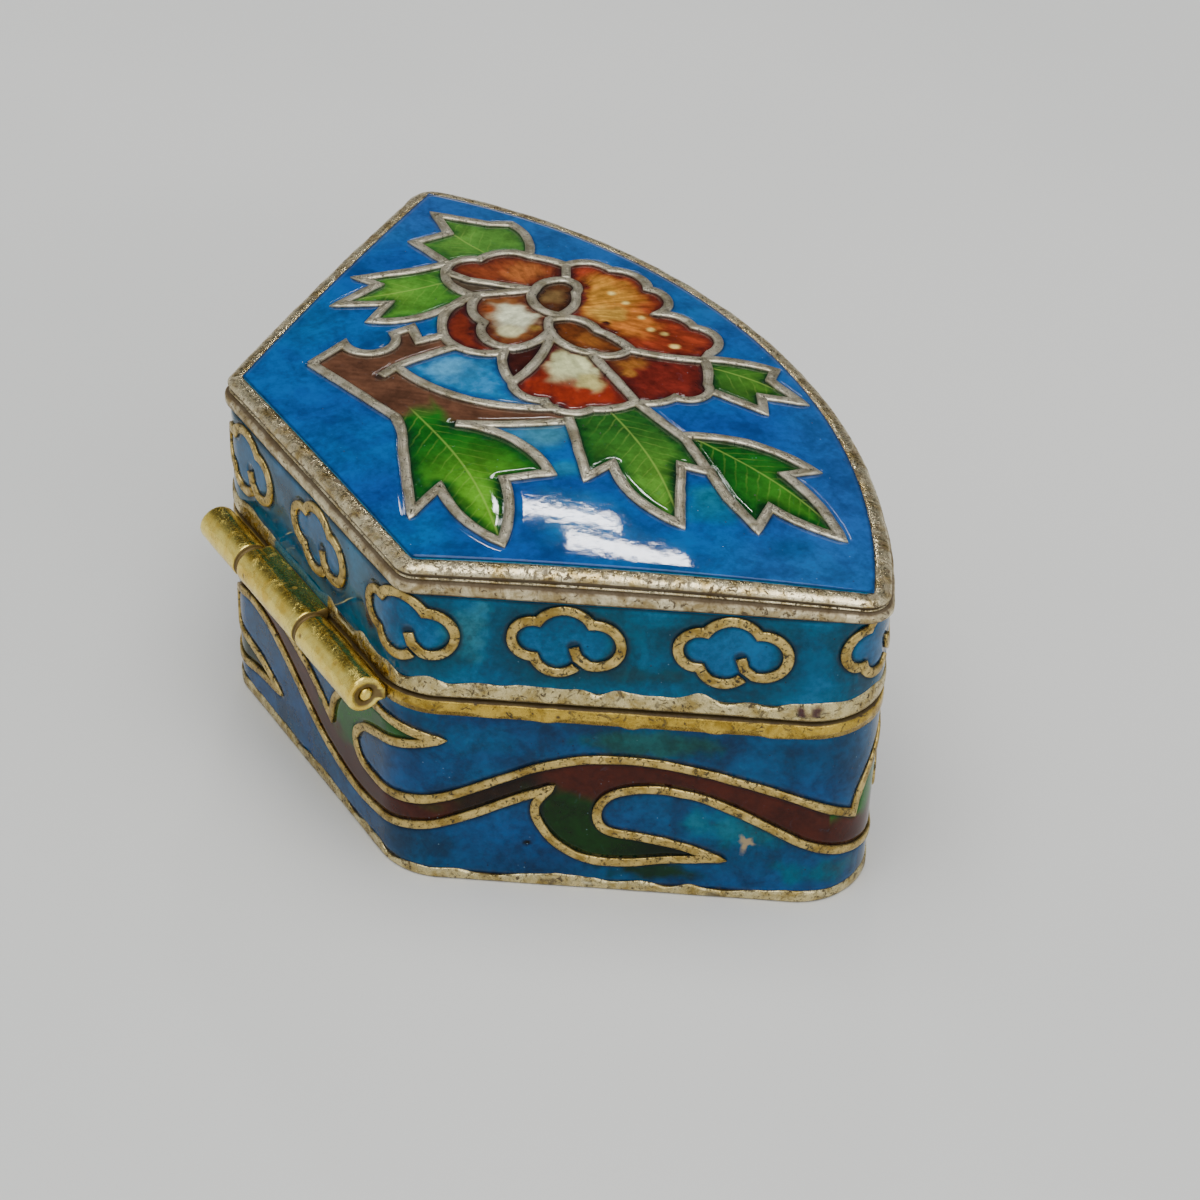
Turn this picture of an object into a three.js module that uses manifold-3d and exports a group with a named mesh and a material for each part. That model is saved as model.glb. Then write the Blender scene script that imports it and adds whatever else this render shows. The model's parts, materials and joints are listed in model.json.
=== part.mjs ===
// Cloisonne enamel box in the shape of an open folding fan, with a hinged lid.
//
// The body and the lid are copper shells coated with enamel. Brass strips edge them: a moulding
// round the lid's crowned top, a flat rim at each mouth and a foot rim below. Flat brass wires
// stand on the enamel and draw a peony spray on the top, clouds round the lid and a winding vine
// round the base. A three-knuckle hinge stands out behind the narrow end.
//
// Millimetres, +Z up. The hinge is at +Y, the wide curved front at -Y. The origin lies on the
// table under the middle of the whole box.

import * as THREE from 'three';
import { mergeVertices } from 'three/addons/utils/BufferGeometryUtils.js';
import Module from 'manifold-3d';

// ---------------------------------------------------------------- driving dimensions

// The fan is the outline of the enamel picture on the lid; every other outline is offset from it.
const FAN = {
  depth: 19.5,             // between the narrow end and the chord of the curved front
  halfNarrow: 9.9,
  halfWide: 23.75,
  sagitta: 8.1,            // how far the curved front bows out past its chord
};
const SHELL = {
  outside: 1.0,            // outer face of the enamelled wall, out from the fan
  inside: -0.35,           // inner face of the wall
  cornerRadius: 4.0,       // at the outer face
  roof: 1.5,               // copper and enamel of the lid's top
  floorTop: 2.0,
  recess: 0.25,            // the underside stands this far above the table
};
const HEIGHT = {
  foot: 0.65,              // top of the foot rim
  baseRim: 11.38,          // underside of the base's mouth rim
  seam: 12.6,
  lidRim: 13.9,            // top of the lid's mouth rim
  moulding: 19.3,          // underside of the top moulding
  crown: 21.3,             // highest point of the lid's enamel
};
const CROWN = { radiusX: 420, radiusY: 190, centreY: -2 };
const PICTURE_CORNER = 0.5;    // corner radius of the enamel picture
const SEAT_GAP = 0.03;         // solder line between a strip and the shell it sits on
const SEAM_GAP = 0.04;         // between the two mouth rims

const HINGE = {
  barrelRadius: 1.1,
  boreRadius: 0.46,
  pinRadius: 0.38,
  clearance: 0.1,          // from the barrel to the rims beside it
  axisBelowSeam: 0.3,
  joint: 0.3,              // width of the slits between the knuckles
  cuts: [-9.2, -2.75, 4.45, 9.0],   // knuckle ends along X, the lid's knuckle in the middle
};

const WIRE = {
  width: 0.54,
  height: 0.18,
  bed: 0.08,               // thickness of the enamel skin under them
  tolerance: 0.085,        // how far a faceted wire may stray from its curve
  samples: 32,             // tries along each stretch when it is faceted
  longestMitre: 2.0,       // in half widths; sharper tips are cut off square
};
const CLOUD = { count: 14, first: 1.3, middle: 16.95 };
// The vine repeats every waveLength as far as evenTo; round the curved front it is drawn a little
// closer, so that whole waves go round.
const VINE = { waves: 4, waveLength: 32.5, evenTo: 50.6, upperRoot: 2.4, lowerRoot: 18.1 };

// How finely each stretch of an outline is divided.
const DIVISIONS = { narrowEndHalf: 1, corner: 4, side: 3, front: 14 };

const wasm = await Module();
wasm.setup();

// ---------------------------------------------------------------- materials

const enamel = new THREE.MeshStandardMaterial({ color: 0x1668a6, roughness: 0.18, metalness: 0 });
const gilding = new THREE.MeshStandardMaterial({ color: 0xb9a468, roughness: 0.42, metalness: 1 });
const wireBrass = new THREE.MeshStandardMaterial({ color: 0xb8b294, roughness: 0.5, metalness: 1 });
const hingeBrass = new THREE.MeshStandardMaterial({ color: 0xb59a48, roughness: 0.3, metalness: 1 });

// ---------------------------------------------------------------- the fan's outline

const halfDepth = FAN.depth / 2;
const frontRadius = (FAN.halfWide ** 2 + FAN.sagitta ** 2) / (2 * FAN.sagitta);
const frontCentreY = -halfDepth - FAN.sagitta + frontRadius;
const sideAngle = Math.atan2(FAN.halfWide - FAN.halfNarrow, FAN.depth);

function lineStretch(from, to, normalAngle, divisions) {
  const length = Math.hypot(to.x - from.x, to.y - from.y);
  const at = (t) => ({
    x: from.x + (to.x - from.x) * t,
    y: from.y + (to.y - from.y) * t,
    angle: normalAngle,
  });
  return { length, divisions, at };
}

function arcStretch(centre, radius, fromAngle, toAngle, divisions) {
  const at = (t) => {
    const angle = fromAngle + (toAngle - fromAngle) * t;
    return {
      x: centre.x + radius * Math.cos(angle),
      y: centre.y + radius * Math.sin(angle),
      angle,
    };
  };
  return { length: radius * (toAngle - fromAngle), divisions, at };
}

// The fan grown outwards by offset, with its four corners rounded. It runs anticlockwise from the
// middle of the narrow end, over -X first. Each corner turns about a centre that lies on the fan
// grown by offset - radius.
function fanOutline(offset, radius) {
  const inset = offset - radius;
  const normal = { x: -Math.cos(sideAngle), y: Math.sin(sideAngle) };
  const along = { x: -Math.sin(sideAngle), y: -Math.cos(sideAngle) };
  const corner = { x: -FAN.halfNarrow + inset * normal.x, y: halfDepth + inset * normal.y };
  const toBack = (halfDepth + inset - corner.y) / along.y;
  const back = { x: corner.x + toBack * along.x, y: corner.y + toBack * along.y };
  const rise = corner.y - frontCentreY;
  const towards = corner.x * along.x + rise * along.y;
  const reach = (frontRadius + inset) ** 2 - corner.x ** 2 - rise ** 2;
  const toFront = -towards + Math.sqrt(towards ** 2 + reach);
  const front = { x: corner.x + toFront * along.x, y: corner.y + toFront * along.y };

  const backAngle = Math.PI / 2;
  const leftAngle = Math.PI - sideAngle;
  const frontAngle = Math.atan2(front.y - frontCentreY, front.x) + 2 * Math.PI;
  const arcCentre = { x: 0, y: frontCentreY };
  const push = (p, angle) => ({ x: p.x + radius * Math.cos(angle), y: p.y + radius * Math.sin(angle) });
  const mirror = (p) => ({ x: -p.x, y: p.y });
  const middle = { x: 0, y: back.y + radius };
  const { narrowEndHalf, corner: turn, side, front: sweep } = DIVISIONS;
  const turnRound = 3 * Math.PI;    // a normal angle a on -X is turnRound - a on +X

  return [
    lineStretch(middle, push(back, backAngle), backAngle, narrowEndHalf),
    arcStretch(back, radius, backAngle, leftAngle, turn),
    lineStretch(push(back, leftAngle), push(front, leftAngle), leftAngle, side),
    arcStretch(front, radius, leftAngle, frontAngle, turn),
    arcStretch(arcCentre, frontRadius + offset, frontAngle, turnRound - frontAngle, sweep),
    arcStretch(mirror(front), radius, turnRound - frontAngle, turnRound - leftAngle, turn),
    lineStretch(mirror(push(front, leftAngle)), mirror(push(back, leftAngle)), turnRound - leftAngle, side),
    arcStretch(mirror(back), radius, turnRound - leftAngle, turnRound - backAngle, turn),
    lineStretch(mirror(push(back, backAngle)), middle, backAngle, narrowEndHalf),
  ];
}

// The outline as a closed ring of points, each at the height that heightAt(x, y) gives.
function ring(offset, radius, heightAt) {
  const points = [];
  for (const stretch of fanOutline(offset, radius)) {
    for (let i = 0; i < stretch.divisions; i++) {
      const { x, y } = stretch.at(i / stretch.divisions);
      points.push(new THREE.Vector3(x, y, heightAt(x, y)));
    }
  }
  return points;
}

const wallRadius = (offset) => SHELL.cornerRadius - SHELL.outside + offset;
const level = (z) => () => z;
const wallRing = (offset, z) => ring(offset, wallRadius(offset), level(z));

function crownHeight(x, y) {
  const acrossX = x ** 2 / (2 * CROWN.radiusX);
  const acrossY = (y - CROWN.centreY) ** 2 / (2 * CROWN.radiusY);
  return HEIGHT.crown - acrossX - acrossY;
}

// ---------------------------------------------------------------- solids from rings

function solidFrom(vertices, faces) {
  const geometry = new THREE.BufferGeometry();
  geometry.setAttribute('position', new THREE.Float32BufferAttribute(vertices.flatMap((v) => v.toArray()), 3));
  geometry.setIndex(faces);
  return geometry;
}

// Skins a stack of rings. With a first and a last point the stack is closed by a fan at each end;
// without them its last ring joins its first, which makes a hoop.
function skin(rings, firstPoint, lastPoint) {
  const count = rings[0].length;
  const vertices = rings.flat();
  const faces = [];
  const joined = firstPoint ? rings.length - 1 : rings.length;
  for (let i = 0; i < joined; i++) {
    const lower = i * count;
    const upper = ((i + 1) % rings.length) * count;
    for (let j = 0; j < count; j++) {
      const k = (j + 1) % count;
      faces.push(lower + j, lower + k, upper + k, lower + j, upper + k, upper + j);
    }
  }
  if (firstPoint) {
    const first = vertices.push(firstPoint) - 1;
    const last = vertices.push(lastPoint) - 1;
    const top = (rings.length - 1) * count;
    for (let j = 0; j < count; j++) {
      const k = (j + 1) % count;
      faces.push(first, k, j, last, top + j, top + k);
    }
  }
  return solidFrom(vertices, faces);
}

// A brass strip bent round the wall: profile points are [offset from the fan, height].
function strip(profile) {
  return skin(profile.map(([offset, z]) => wallRing(offset, z)));
}

// ---------------------------------------------------------------- shells and strips

function lidShell() {
  const ceiling = (x, y) => crownHeight(x, y) - SHELL.roof;
  const pictureEdge = -SEAT_GAP;
  const centre = -4;
  return skin(
    [
      ring(-6, PICTURE_CORNER, ceiling),
      ring(SHELL.inside, wallRadius(SHELL.inside), ceiling),
      wallRing(SHELL.inside, HEIGHT.lidRim + SEAT_GAP),
      wallRing(SHELL.outside, HEIGHT.lidRim + SEAT_GAP),
      wallRing(SHELL.outside, HEIGHT.moulding - SEAT_GAP),
      ring(pictureEdge, PICTURE_CORNER, level(HEIGHT.moulding - SEAT_GAP)),
      ring(pictureEdge, PICTURE_CORNER, crownHeight),
      ring(-4, PICTURE_CORNER, crownHeight),
      ring(-8, PICTURE_CORNER, crownHeight),
    ],
    new THREE.Vector3(0, centre, ceiling(0, centre)),
    new THREE.Vector3(0, centre, crownHeight(0, centre)),
  );
}

function baseShell() {
  const shoulder = HEIGHT.foot + SEAT_GAP;
  const rimSeat = HEIGHT.baseRim - SEAT_GAP;
  const plate = -0.15;
  return skin(
    [
      wallRing(plate, SHELL.recess),
      wallRing(plate, shoulder),
      wallRing(SHELL.outside, shoulder),
      wallRing(SHELL.outside, rimSeat),
      wallRing(SHELL.inside, rimSeat),
      wallRing(SHELL.inside, SHELL.floorTop),
    ],
    new THREE.Vector3(0, -halfDepth / 2, SHELL.recess),
    new THREE.Vector3(0, -halfDepth / 2, SHELL.floorTop),
  );
}

// Two rounded beads with a groove between them. Heights are shares of the strip's own height, so
// its top follows the crown while its foot stays level.
function topMoulding() {
  const profile = [
    [0, 0], [1.02, 0], [1.12, 0.1], [1.12, 0.36], [0.7, 0.48], [0.7, 0.7], [0.92, 0.76], [0.78, 0.9],
    [0.35, 1.01], [0, 1],
  ];
  const rings = profile.map(([offset, share]) => ring(
    offset,
    PICTURE_CORNER + offset + SEAT_GAP,
    (x, y) => HEIGHT.moulding + share * (crownHeight(x, y) - HEIGHT.moulding),
  ));
  return skin(rings);
}

const rimOut = SHELL.outside + 0.22;
const rimBevel = 0.14;

function lidMouthRim() {
  const foot = HEIGHT.seam + SEAM_GAP / 2;
  return strip([
    [SHELL.inside, foot], [rimOut - rimBevel, foot], [rimOut, foot + rimBevel],
    [rimOut, HEIGHT.lidRim - rimBevel], [rimOut - rimBevel, HEIGHT.lidRim], [SHELL.inside, HEIGHT.lidRim],
  ]);
}

function baseMouthRim() {
  const top = HEIGHT.seam - SEAM_GAP / 2;
  return strip([
    [SHELL.inside, HEIGHT.baseRim], [rimOut - rimBevel, HEIGHT.baseRim], [rimOut, HEIGHT.baseRim + rimBevel],
    [rimOut, top - rimBevel], [rimOut - rimBevel, top], [SHELL.inside, top],
  ]);
}

function footRim() {
  const inner = -0.12;
  return strip([
    [inner, 0], [rimOut - rimBevel, 0], [rimOut, rimBevel], [rimOut, HEIGHT.foot], [inner, HEIGHT.foot],
  ]);
}

// ---------------------------------------------------------------- hinge

const axis = {
  y: halfDepth + rimOut + HINGE.clearance + HINGE.barrelRadius,
  z: HEIGHT.seam - HINGE.axisBelowSeam,
};

// One rolled knuckle: the barrel and the leaf that ties it to a mouth rim. The profile is drawn
// about the hinge axis, with +Y to the right and +Z up, and the leaf meets the rim at footLow to
// footHigh. arcFrom and arcTo are where the barrel leaves the leaf and comes back to it.
function knuckle(fromX, toX, { footLow, footHigh, arcFrom, arcTo }) {
  const foot = -(HINGE.barrelRadius + HINGE.clearance) + SEAT_GAP;
  const barrelSteps = 14;
  const boreSteps = 12;
  const profile = new THREE.Shape();
  profile.moveTo(foot, footHigh);
  profile.lineTo(foot, footLow);
  for (let i = 0; i <= barrelSteps; i++) {
    const angle = THREE.MathUtils.degToRad(arcFrom + ((arcTo - arcFrom) * i) / barrelSteps);
    profile.lineTo(HINGE.barrelRadius * Math.cos(angle), HINGE.barrelRadius * Math.sin(angle));
  }
  profile.closePath();
  const bore = new THREE.Path();
  bore.absarc(0, 0, HINGE.boreRadius, 0, 2 * Math.PI, true);
  profile.holes.push(bore);
  const length = toX - fromX;
  const geometry = new THREE.ExtrudeGeometry(profile, {
    depth: length, bevelEnabled: false, steps: 1, curveSegments: boreSteps,
  });
  const turn = new THREE.Matrix4().makeBasis(
    new THREE.Vector3(0, 1, 0), new THREE.Vector3(0, 0, 1), new THREE.Vector3(1, 0, 0),
  );
  geometry.applyMatrix4(turn);
  geometry.translate(fromX, axis.y, axis.z);
  return geometry;
}

const baseLeaf = { footLow: -0.85, footHigh: 0.12, arcFrom: -122, arcTo: 118 };
const lidLeaf = { footLow: 0.4, footHigh: 1.0, arcFrom: -208, arcTo: 110 };

function hingePin() {
  const [start, , , end] = HINGE.cuts;
  const half = (end - start) / 2;
  const peened = 0.7;      // radius of the flat on the hammered end, as a share of the pin's
  const stand = 0.12;
  const r = HINGE.pinRadius;
  const profile = [
    [0, -half - stand], [r * peened, -half - stand], [r, -half], [r, half], [r * peened, half + stand],
    [0, half + stand],
  ];
  const geometry = new THREE.LatheGeometry(profile.map(([x, y]) => new THREE.Vector2(x, y)), 12);
  geometry.rotateZ(-Math.PI / 2);
  geometry.translate((start + end) / 2, axis.y, axis.z);
  return geometry;
}

// ---------------------------------------------------------------- wires

// A drawn line is a chain of stretches, each a function from 0..1 to a point of the drawing.

// A line through [x, y, bow] points. The stretch that leaves a point is an arc that swells to its
// left by bow times half its chord; without a bow it is straight.
function arcLine(points, closed = false) {
  const ends = closed ? [...points, points[0]] : points;
  const stretches = ends.slice(1).map(([x1, y1], i) => {
    const [x0, y0, bow = 0] = ends[i];
    const from = new THREE.Vector2(x0, y0);
    const to = new THREE.Vector2(x1, y1);
    if (!bow) return (t) => from.clone().lerp(to, t);
    const chord = to.clone().sub(from);
    const left = new THREE.Vector2(-chord.y, chord.x);
    const sweep = 4 * Math.atan(bow);
    const centre = from.clone().lerp(to, 0.5).addScaledVector(left, (bow - 1 / bow) / 4);
    return (t) => from.clone().rotateAround(centre, -sweep * t);
  });
  return { closed, stretches };
}

// A smooth line through points, cut into a number of stretches.
function splineStretches(points, count) {
  const curve = new THREE.SplineCurve(points);
  return Array.from({ length: count }, (_, k) => (t) => curve.getPoint((k + t) / count));
}

// Whether the points between the ends of a run lie too far from its chord.
function strays(run) {
  const chord = new THREE.Line3(run[0].laid, run[run.length - 1].laid);
  const nearest = new THREE.Vector3();
  return run.slice(1, -1).some(({ laid }) => (
    chord.closestPointToPoint(laid, true, nearest).distanceTo(laid) > WIRE.tolerance
  ));
}

// The points of a line, as few as keep the wire true once it is laid on its surface.
function traced({ stretches, closed }, place) {
  const kept = [];
  for (const at of stretches) {
    const samples = Array.from({ length: WIRE.samples + 1 }, (_, k) => {
      const drawn = at(k / WIRE.samples);
      return { drawn, laid: place(drawn.x, drawn.y, 0) };
    });
    let from = 0;
    while (from < WIRE.samples) {
      kept.push(samples[from].drawn);
      let to = from + 1;
      while (to < WIRE.samples && !strays(samples.slice(from, to + 2))) to += 1;
      from = to;
    }
  }
  if (!closed) kept.push(stretches[stretches.length - 1](1));
  return kept;
}

// The left and right edges of a ribbon along a line, mitred at its bends. An open line runs on a
// little past its ends. A closed line that goes round the wall comes back period further along.
function ribbonEdges(line, closed, period = 0) {
  const half = WIRE.width / 2;
  const overrun = half / 2;
  const count = line.length;
  const ends = line.map((p, i) => {
    const isFirst = i === 0;
    const isLast = i === count - 1;
    const before = line[(i + count - 1) % count].clone();
    const after = line[(i + 1) % count].clone();
    if (closed && isFirst) before.x -= period;
    if (closed && isLast) after.x += period;
    const incoming = p.clone().sub(before).normalize();
    const outgoing = after.sub(p).normalize();
    if (closed || (!isFirst && !isLast)) return { p, incoming, outgoing };
    const way = isFirst ? outgoing : incoming;
    const end = p.clone().addScaledVector(way, isFirst ? -overrun : overrun);
    return { p: end, incoming: way, outgoing: way };
  });
  const edge = (sign) => ends.map(({ p, incoming, outgoing }) => {
    const across = new THREE.Vector2(-incoming.y - outgoing.y, incoming.x + outgoing.x).normalize();
    const squareness = across.x * -incoming.y + across.y * incoming.x;
    const reach = half * Math.min(1 / Math.max(squareness, 1e-6), WIRE.longestMitre);
    return p.clone().addScaledVector(across, sign * reach);
  });
  return [edge(1), edge(-1)];
}

// A ribbon of wire along a line, as a flat solid in the drawing plane. A closed line is taken
// anticlockwise, so its left edge bounds the hole.
function ribbon(line, closed) {
  const turned = closed && THREE.ShapeUtils.isClockWise(line) ? line.toReversed() : line;
  const [left, right] = ribbonEdges(turned, closed);
  const shape = new THREE.Shape(closed ? right : [...left, ...right.reverse()]);
  if (closed) shape.holes.push(new THREE.Path(left));
  const drawn = new THREE.ExtrudeGeometry(shape, { depth: WIRE.height, bevelEnabled: false, steps: 1 });
  drawn.deleteAttribute('normal');
  drawn.deleteAttribute('uv');
  const geometry = mergeVertices(drawn, 1e-5);
  return new wasm.Manifold(new wasm.Mesh({
    numProp: 3,
    vertProperties: new Float32Array(geometry.attributes.position.array),
    triVerts: new Uint32Array(geometry.index.array),
  }));
}

// Joins ribbons into one net and lays it on a surface: place(x, y, out) gives the point that lies
// out above the surface at drawing position x, y.
function wireNet(lines, place) {
  const net = lines
    .map((line) => ribbon(traced(line, place), line.closed))
    .reduce((whole, piece) => whole.add(piece));
  const { vertProperties, triVerts, numProp } = net.getMesh();
  const vertices = [];
  for (let i = 0; i < vertProperties.length; i += numProp) {
    vertices.push(place(vertProperties[i], vertProperties[i + 1], vertProperties[i + 2] + WIRE.bed));
  }
  return solidFrom(vertices, Array.from(triVerts));
}

const onLidTop = (x, y, out) => new THREE.Vector3(x, y, crownHeight(x, y) + out);

const wallOutline = fanOutline(SHELL.outside, SHELL.cornerRadius);
const wallLength = wallOutline.reduce((sum, stretch) => sum + stretch.length, 0);

// Drawing position on the wall: s runs round it from the middle of the narrow end, z is height.
function onWall(s, z, out) {
  let rest = THREE.MathUtils.euclideanModulo(s, wallLength);
  let index = 0;
  while (rest > wallOutline[index].length && index < wallOutline.length - 1) {
    rest -= wallOutline[index].length;
    index += 1;
  }
  const { x, y, angle } = wallOutline[index].at(rest / wallOutline[index].length);
  return new THREE.Vector3(x + out * Math.cos(angle), y + out * Math.sin(angle), z);
}

// One wire on the wall. A closed one runs right round the box and meets itself.
function wireOnWall({ stretches, closed }) {
  const [left, right] = ribbonEdges(traced({ stretches, closed }, onWall), closed, wallLength);
  const top = WIRE.bed + WIRE.height;
  const rings = left.map((a, i) => {
    const b = right[i];
    return [
      onWall(a.x, a.y, WIRE.bed), onWall(a.x, a.y, top), onWall(b.x, b.y, top), onWall(b.x, b.y, WIRE.bed),
    ];
  });
  if (closed) return skin(rings);
  const middleOf = ([a, , b]) => a.clone().lerp(b, 0.5);
  return skin(rings, middleOf(rings[0]), middleOf(rings[rings.length - 1]));
}

// The peony: its scalloped edge and the walls between its petals.
const peony = [
  arcLine([
    [14.7, -6.1, 0.35], [14.5, -8.1, 0.45], [13.5, -11.0, 0.1], [11.6, -12.35, 0.49], [10.0, -14.5, 0.43],
    [7.1, -15.3, 0.6], [4.3, -14.2, 0.36], [2.1, -15.3, 0.64], [-0.8, -14.5], [-1.35, -13.75, 0.1],
    [-3.65, -12.5, 0.74], [-4.05, -10.1, 0.31], [-3.5, -7.85, 0.2], [-3.05, -5.25, 0.58], [-1.1, -3.4, 0.43],
    [1.4, -2.75, 0.14], [4.4, -3.9, 0.4], [7.2, -1.8, 0.35], [10.8, -5.6, 0.4],
  ], true),
  arcLine([[13.9, -5.6], [12.6, -6.2], [9.9, -9.0]]),
  arcLine([[10.8, -5.7], [9.85, -8.9]]),
  arcLine([[11.5, -12.3], [10.2, -11.5]]),
  arcLine([[9.8, -9.2, 0.4], [10.0, -11.4, 0.45], [8.4, -11.1, 0.26], [6.5, -8.9, 0.5]], true),
  arcLine([[6.35, -8.1, 0.5], [4.1, -9.95, 0.1], [1.6, -10.6, 0.5], [2.0, -8.4, 0.43]], true),
  arcLine([[1.35, -10.5, -0.08], [-1.35, -13.7]]),
  arcLine([[2.0, -8.3], [-3.5, -7.85]]),
  arcLine([[5.2, -7.55, 0.15], [1.4, -2.8]]),
  arcLine([[5.4, -7.6, 0.25], [4.5, -4.6, 0.5], [7.8, -4.55, 0.35], [10.6, -5.8]]),
];

// The branch with its broken end, its stub and its fork.
const branch = [
  arcLine([[8.8, 6.0], [9.7, 3.45, -1.05], [9.2, 0.5], [9.3, -0.7], [7.8, -0.35], [7.65, -1.85]]),
  arcLine([[5.65, 3.25], [6.05, 1.9, 0.04], [6.2, -1.85]]),
  arcLine([[6.05, 2.05, -0.28], [-2.1, -3.7]]),
  arcLine([[-0.75, 1.95, -0.06], [-3.4, -3.3]]),
];

// Each leaf runs from the flower round its three toothed lobes and back.
const leaves = [
  [
    [13.7, -11.0, -0.23], [17.7, -12.1], [18.3, -10.9], [20.8, -8.6], [18.35, -8.1], [18.2, -5.7], [15.0, -6.15],
  ],
  [
    [14.9, -6.0], [15.1, -4.0], [15.9, -0.75], [14.65, -1.35], [13.8, 1.75], [12.4, -0.8], [11.15, 0.95, -0.2],
    [10.1, -2.5], [10.45, -4.6],
  ],
  [
    [8.8, 6.0], [1.6, 4.55, 0.12], [-1.0, 5.5], [-6.7, 8.0], [-5.4, 5.6, -0.18], [-11.3, 5.2, -0.13],
    [-6.5, 2.35], [-7.25, -0.1, -0.28], [-0.7, 2.0],
  ],
  [
    [-3.2, -3.7], [-8.5, -1.65], [-8.1, -3.5, -0.22], [-14.4, -3.8], [-9.9, -6.75], [-11.1, -7.75],
    [-8.0, -8.3], [-3.5, -7.85],
  ],
  [
    [-7.5, -8.35, 0.25], [-13.4, -13.0], [-13.1, -11.4, 0.11], [-19.1, -10.85, 0.1], [-15.3, -8.95],
    [-16.6, -7.25], [-13.5, -7.35], [-10.9, -7.85],
  ],
  [
    [-1.3, -14.0, 0.12], [-3.9, -16.9], [-4.7, -16.05], [-7.35, -16.35], [-5.95, -14.6], [-7.3, -13.85],
    [-4.5, -12.4],
  ],
].map((points) => arcLine(points));

// A four-lobed cloud bent from one wire, from the curl inside it round to its own start.
function cloud(middle) {
  const points = [
    [0.5, -0.35], [0.7, -1.0], [1.25, -1.45, -1.25], [1.4, 1.2, -0.58], [-1.4, 1.2, -1.12], [-1.6, -1.1, -0.6],
    [0.55, -1.6],
  ];
  return wireOnWall(arcLine(points.map(([x, y, bow]) => [x + middle, y + CLOUD.middle, bow])));
}

// Where a place along the vine's pattern lies along the wall.
function alongWall(place) {
  const { waves, waveLength, evenTo, upperRoot } = VINE;
  const whole = waves * waveLength;
  const turns = Math.floor((place - upperRoot) / whole);
  const rest = place - turns * whole;
  const squeeze = (wallLength + upperRoot - evenTo) / (whole + upperRoot - evenTo);
  return turns * wallLength + (rest <= evenTo ? rest : evenTo + (rest - evenTo) * squeeze);
}

// One side of the vine. Each wave sets out at the root of a curled leaf, goes out to its tip,
// turns back into its hook and follows the stem to the root of the next.
function vine(firstRoot, { leafOut, backAndStem }) {
  const roots = Array.from({ length: VINE.waves }, (_, wave) => firstRoot + wave * VINE.waveLength);
  const stretches = roots.flatMap((root) => {
    const laid = (points) => points.map(([x, y]) => new THREE.Vector2(alongWall(root + x), y));
    return [...splineStretches(laid(leafOut), 1), ...splineStretches(laid(backAndStem), 4)];
  });
  return wireOnWall({ stretches, closed: true });
}

// Points of one wave, along the wall from its root and up from the table.
const upperWave = {
  leafOut: [[0, 5.6], [0.6, 7.4], [2.5, 9.3], [5.4, 10.1], [7.6, 10.1], [9.7, 9.75]],
  backAndStem: [
    [9.7, 9.75], [7.6, 8.95], [5.6, 8.3], [3.8, 7.5], [2.95, 6.3], [3.5, 5.2], [5.0, 4.9], [7.6, 5.2],
    [10.1, 5.9], [12.6, 7.1], [15.1, 8.35], [17.6, 9.1], [20.6, 9.25], [23.6, 8.85], [26.6, 8.1], [29.6, 7.15],
    [VINE.waveLength, 5.6],
  ],
};
const lowerWave = {
  leafOut: [[0, 6.9], [-0.7, 5.7], [-0.45, 4.4], [0.6, 3.0], [2.2, 2.15], [4.2, 2.05], [6.8, 2.5], [9.4, 2.75]],
  backAndStem: [
    [9.4, 2.75], [7.2, 3.55], [5.0, 3.95], [3.2, 4.3], [2.65, 5.3], [3.1, 6.5], [4.4, 7.2], [6.2, 7.35],
    [8.2, 7.0], [10.2, 6.2], [12.2, 5.15], [14.2, 4.1], [16.2, 3.3], [18.4, 2.75], [20.4, 2.6], [22.4, 2.85],
    [24.4, 3.3], [26.4, 3.9], [28.4, 4.8], [30.4, 5.9], [VINE.waveLength, 6.9],
  ],
};

// ---------------------------------------------------------------- assembly

const box = new THREE.Group();

function addPiece(name, geometry, material) {
  const piece = new THREE.Mesh(geometry, material);
  piece.name = name;
  box.add(piece);
}

addPiece('base_shell', baseShell(), enamel);
addPiece('base_foot_rim', footRim(), gilding);
addPiece('base_mouth_rim', baseMouthRim(), gilding);
addPiece('base_vine_upper_wire', vine(VINE.upperRoot, upperWave), wireBrass);
addPiece('base_vine_lower_wire', vine(VINE.lowerRoot, lowerWave), wireBrass);

addPiece('lid_shell', lidShell(), enamel);
addPiece('lid_mouth_rim', lidMouthRim(), gilding);
addPiece('lid_top_moulding', topMoulding(), gilding);
addPiece('lid_peony_wires', wireNet([...peony, ...branch, ...leaves], onLidTop), wireBrass);
for (let i = 0; i < CLOUD.count; i++) {
  const middle = CLOUD.first + (i * wallLength) / CLOUD.count;
  addPiece(`lid_cloud_wire_${String(i + 1).padStart(2, '0')}`, cloud(middle), wireBrass);
}

const [cut0, cut1, cut2, cut3] = HINGE.cuts;
const slit = HINGE.joint / 2;
addPiece('hinge_knuckle_left', knuckle(cut0, cut1 - slit, baseLeaf), hingeBrass);
addPiece('hinge_knuckle_lid', knuckle(cut1 + slit, cut2 - slit, lidLeaf), hingeBrass);
addPiece('hinge_knuckle_right', knuckle(cut2 + slit, cut3, baseLeaf), hingeBrass);
addPiece('hinge_pin', hingePin(), hingeBrass);

// Bring the middle of the box over the origin; the foot rim already stands on the table.
const middle = new THREE.Box3().setFromObject(box).getCenter(new THREE.Vector3());
box.position.set(-middle.x, -middle.y, 0);

export default box;
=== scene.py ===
"""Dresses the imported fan-shaped cloisonne box: enamel, wires, gilt strips, hinge, inside, studio.

Lengths are millimetres in the drawing of the box, which has the middle of the lid's picture
between its two chords at the origin. They become metres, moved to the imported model's own place,
as each mesh is made.
"""
from __future__ import annotations

import json
import logging
import math
from dataclasses import dataclass, field
from enum import Enum, IntEnum
from typing import Callable, Sequence

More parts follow.
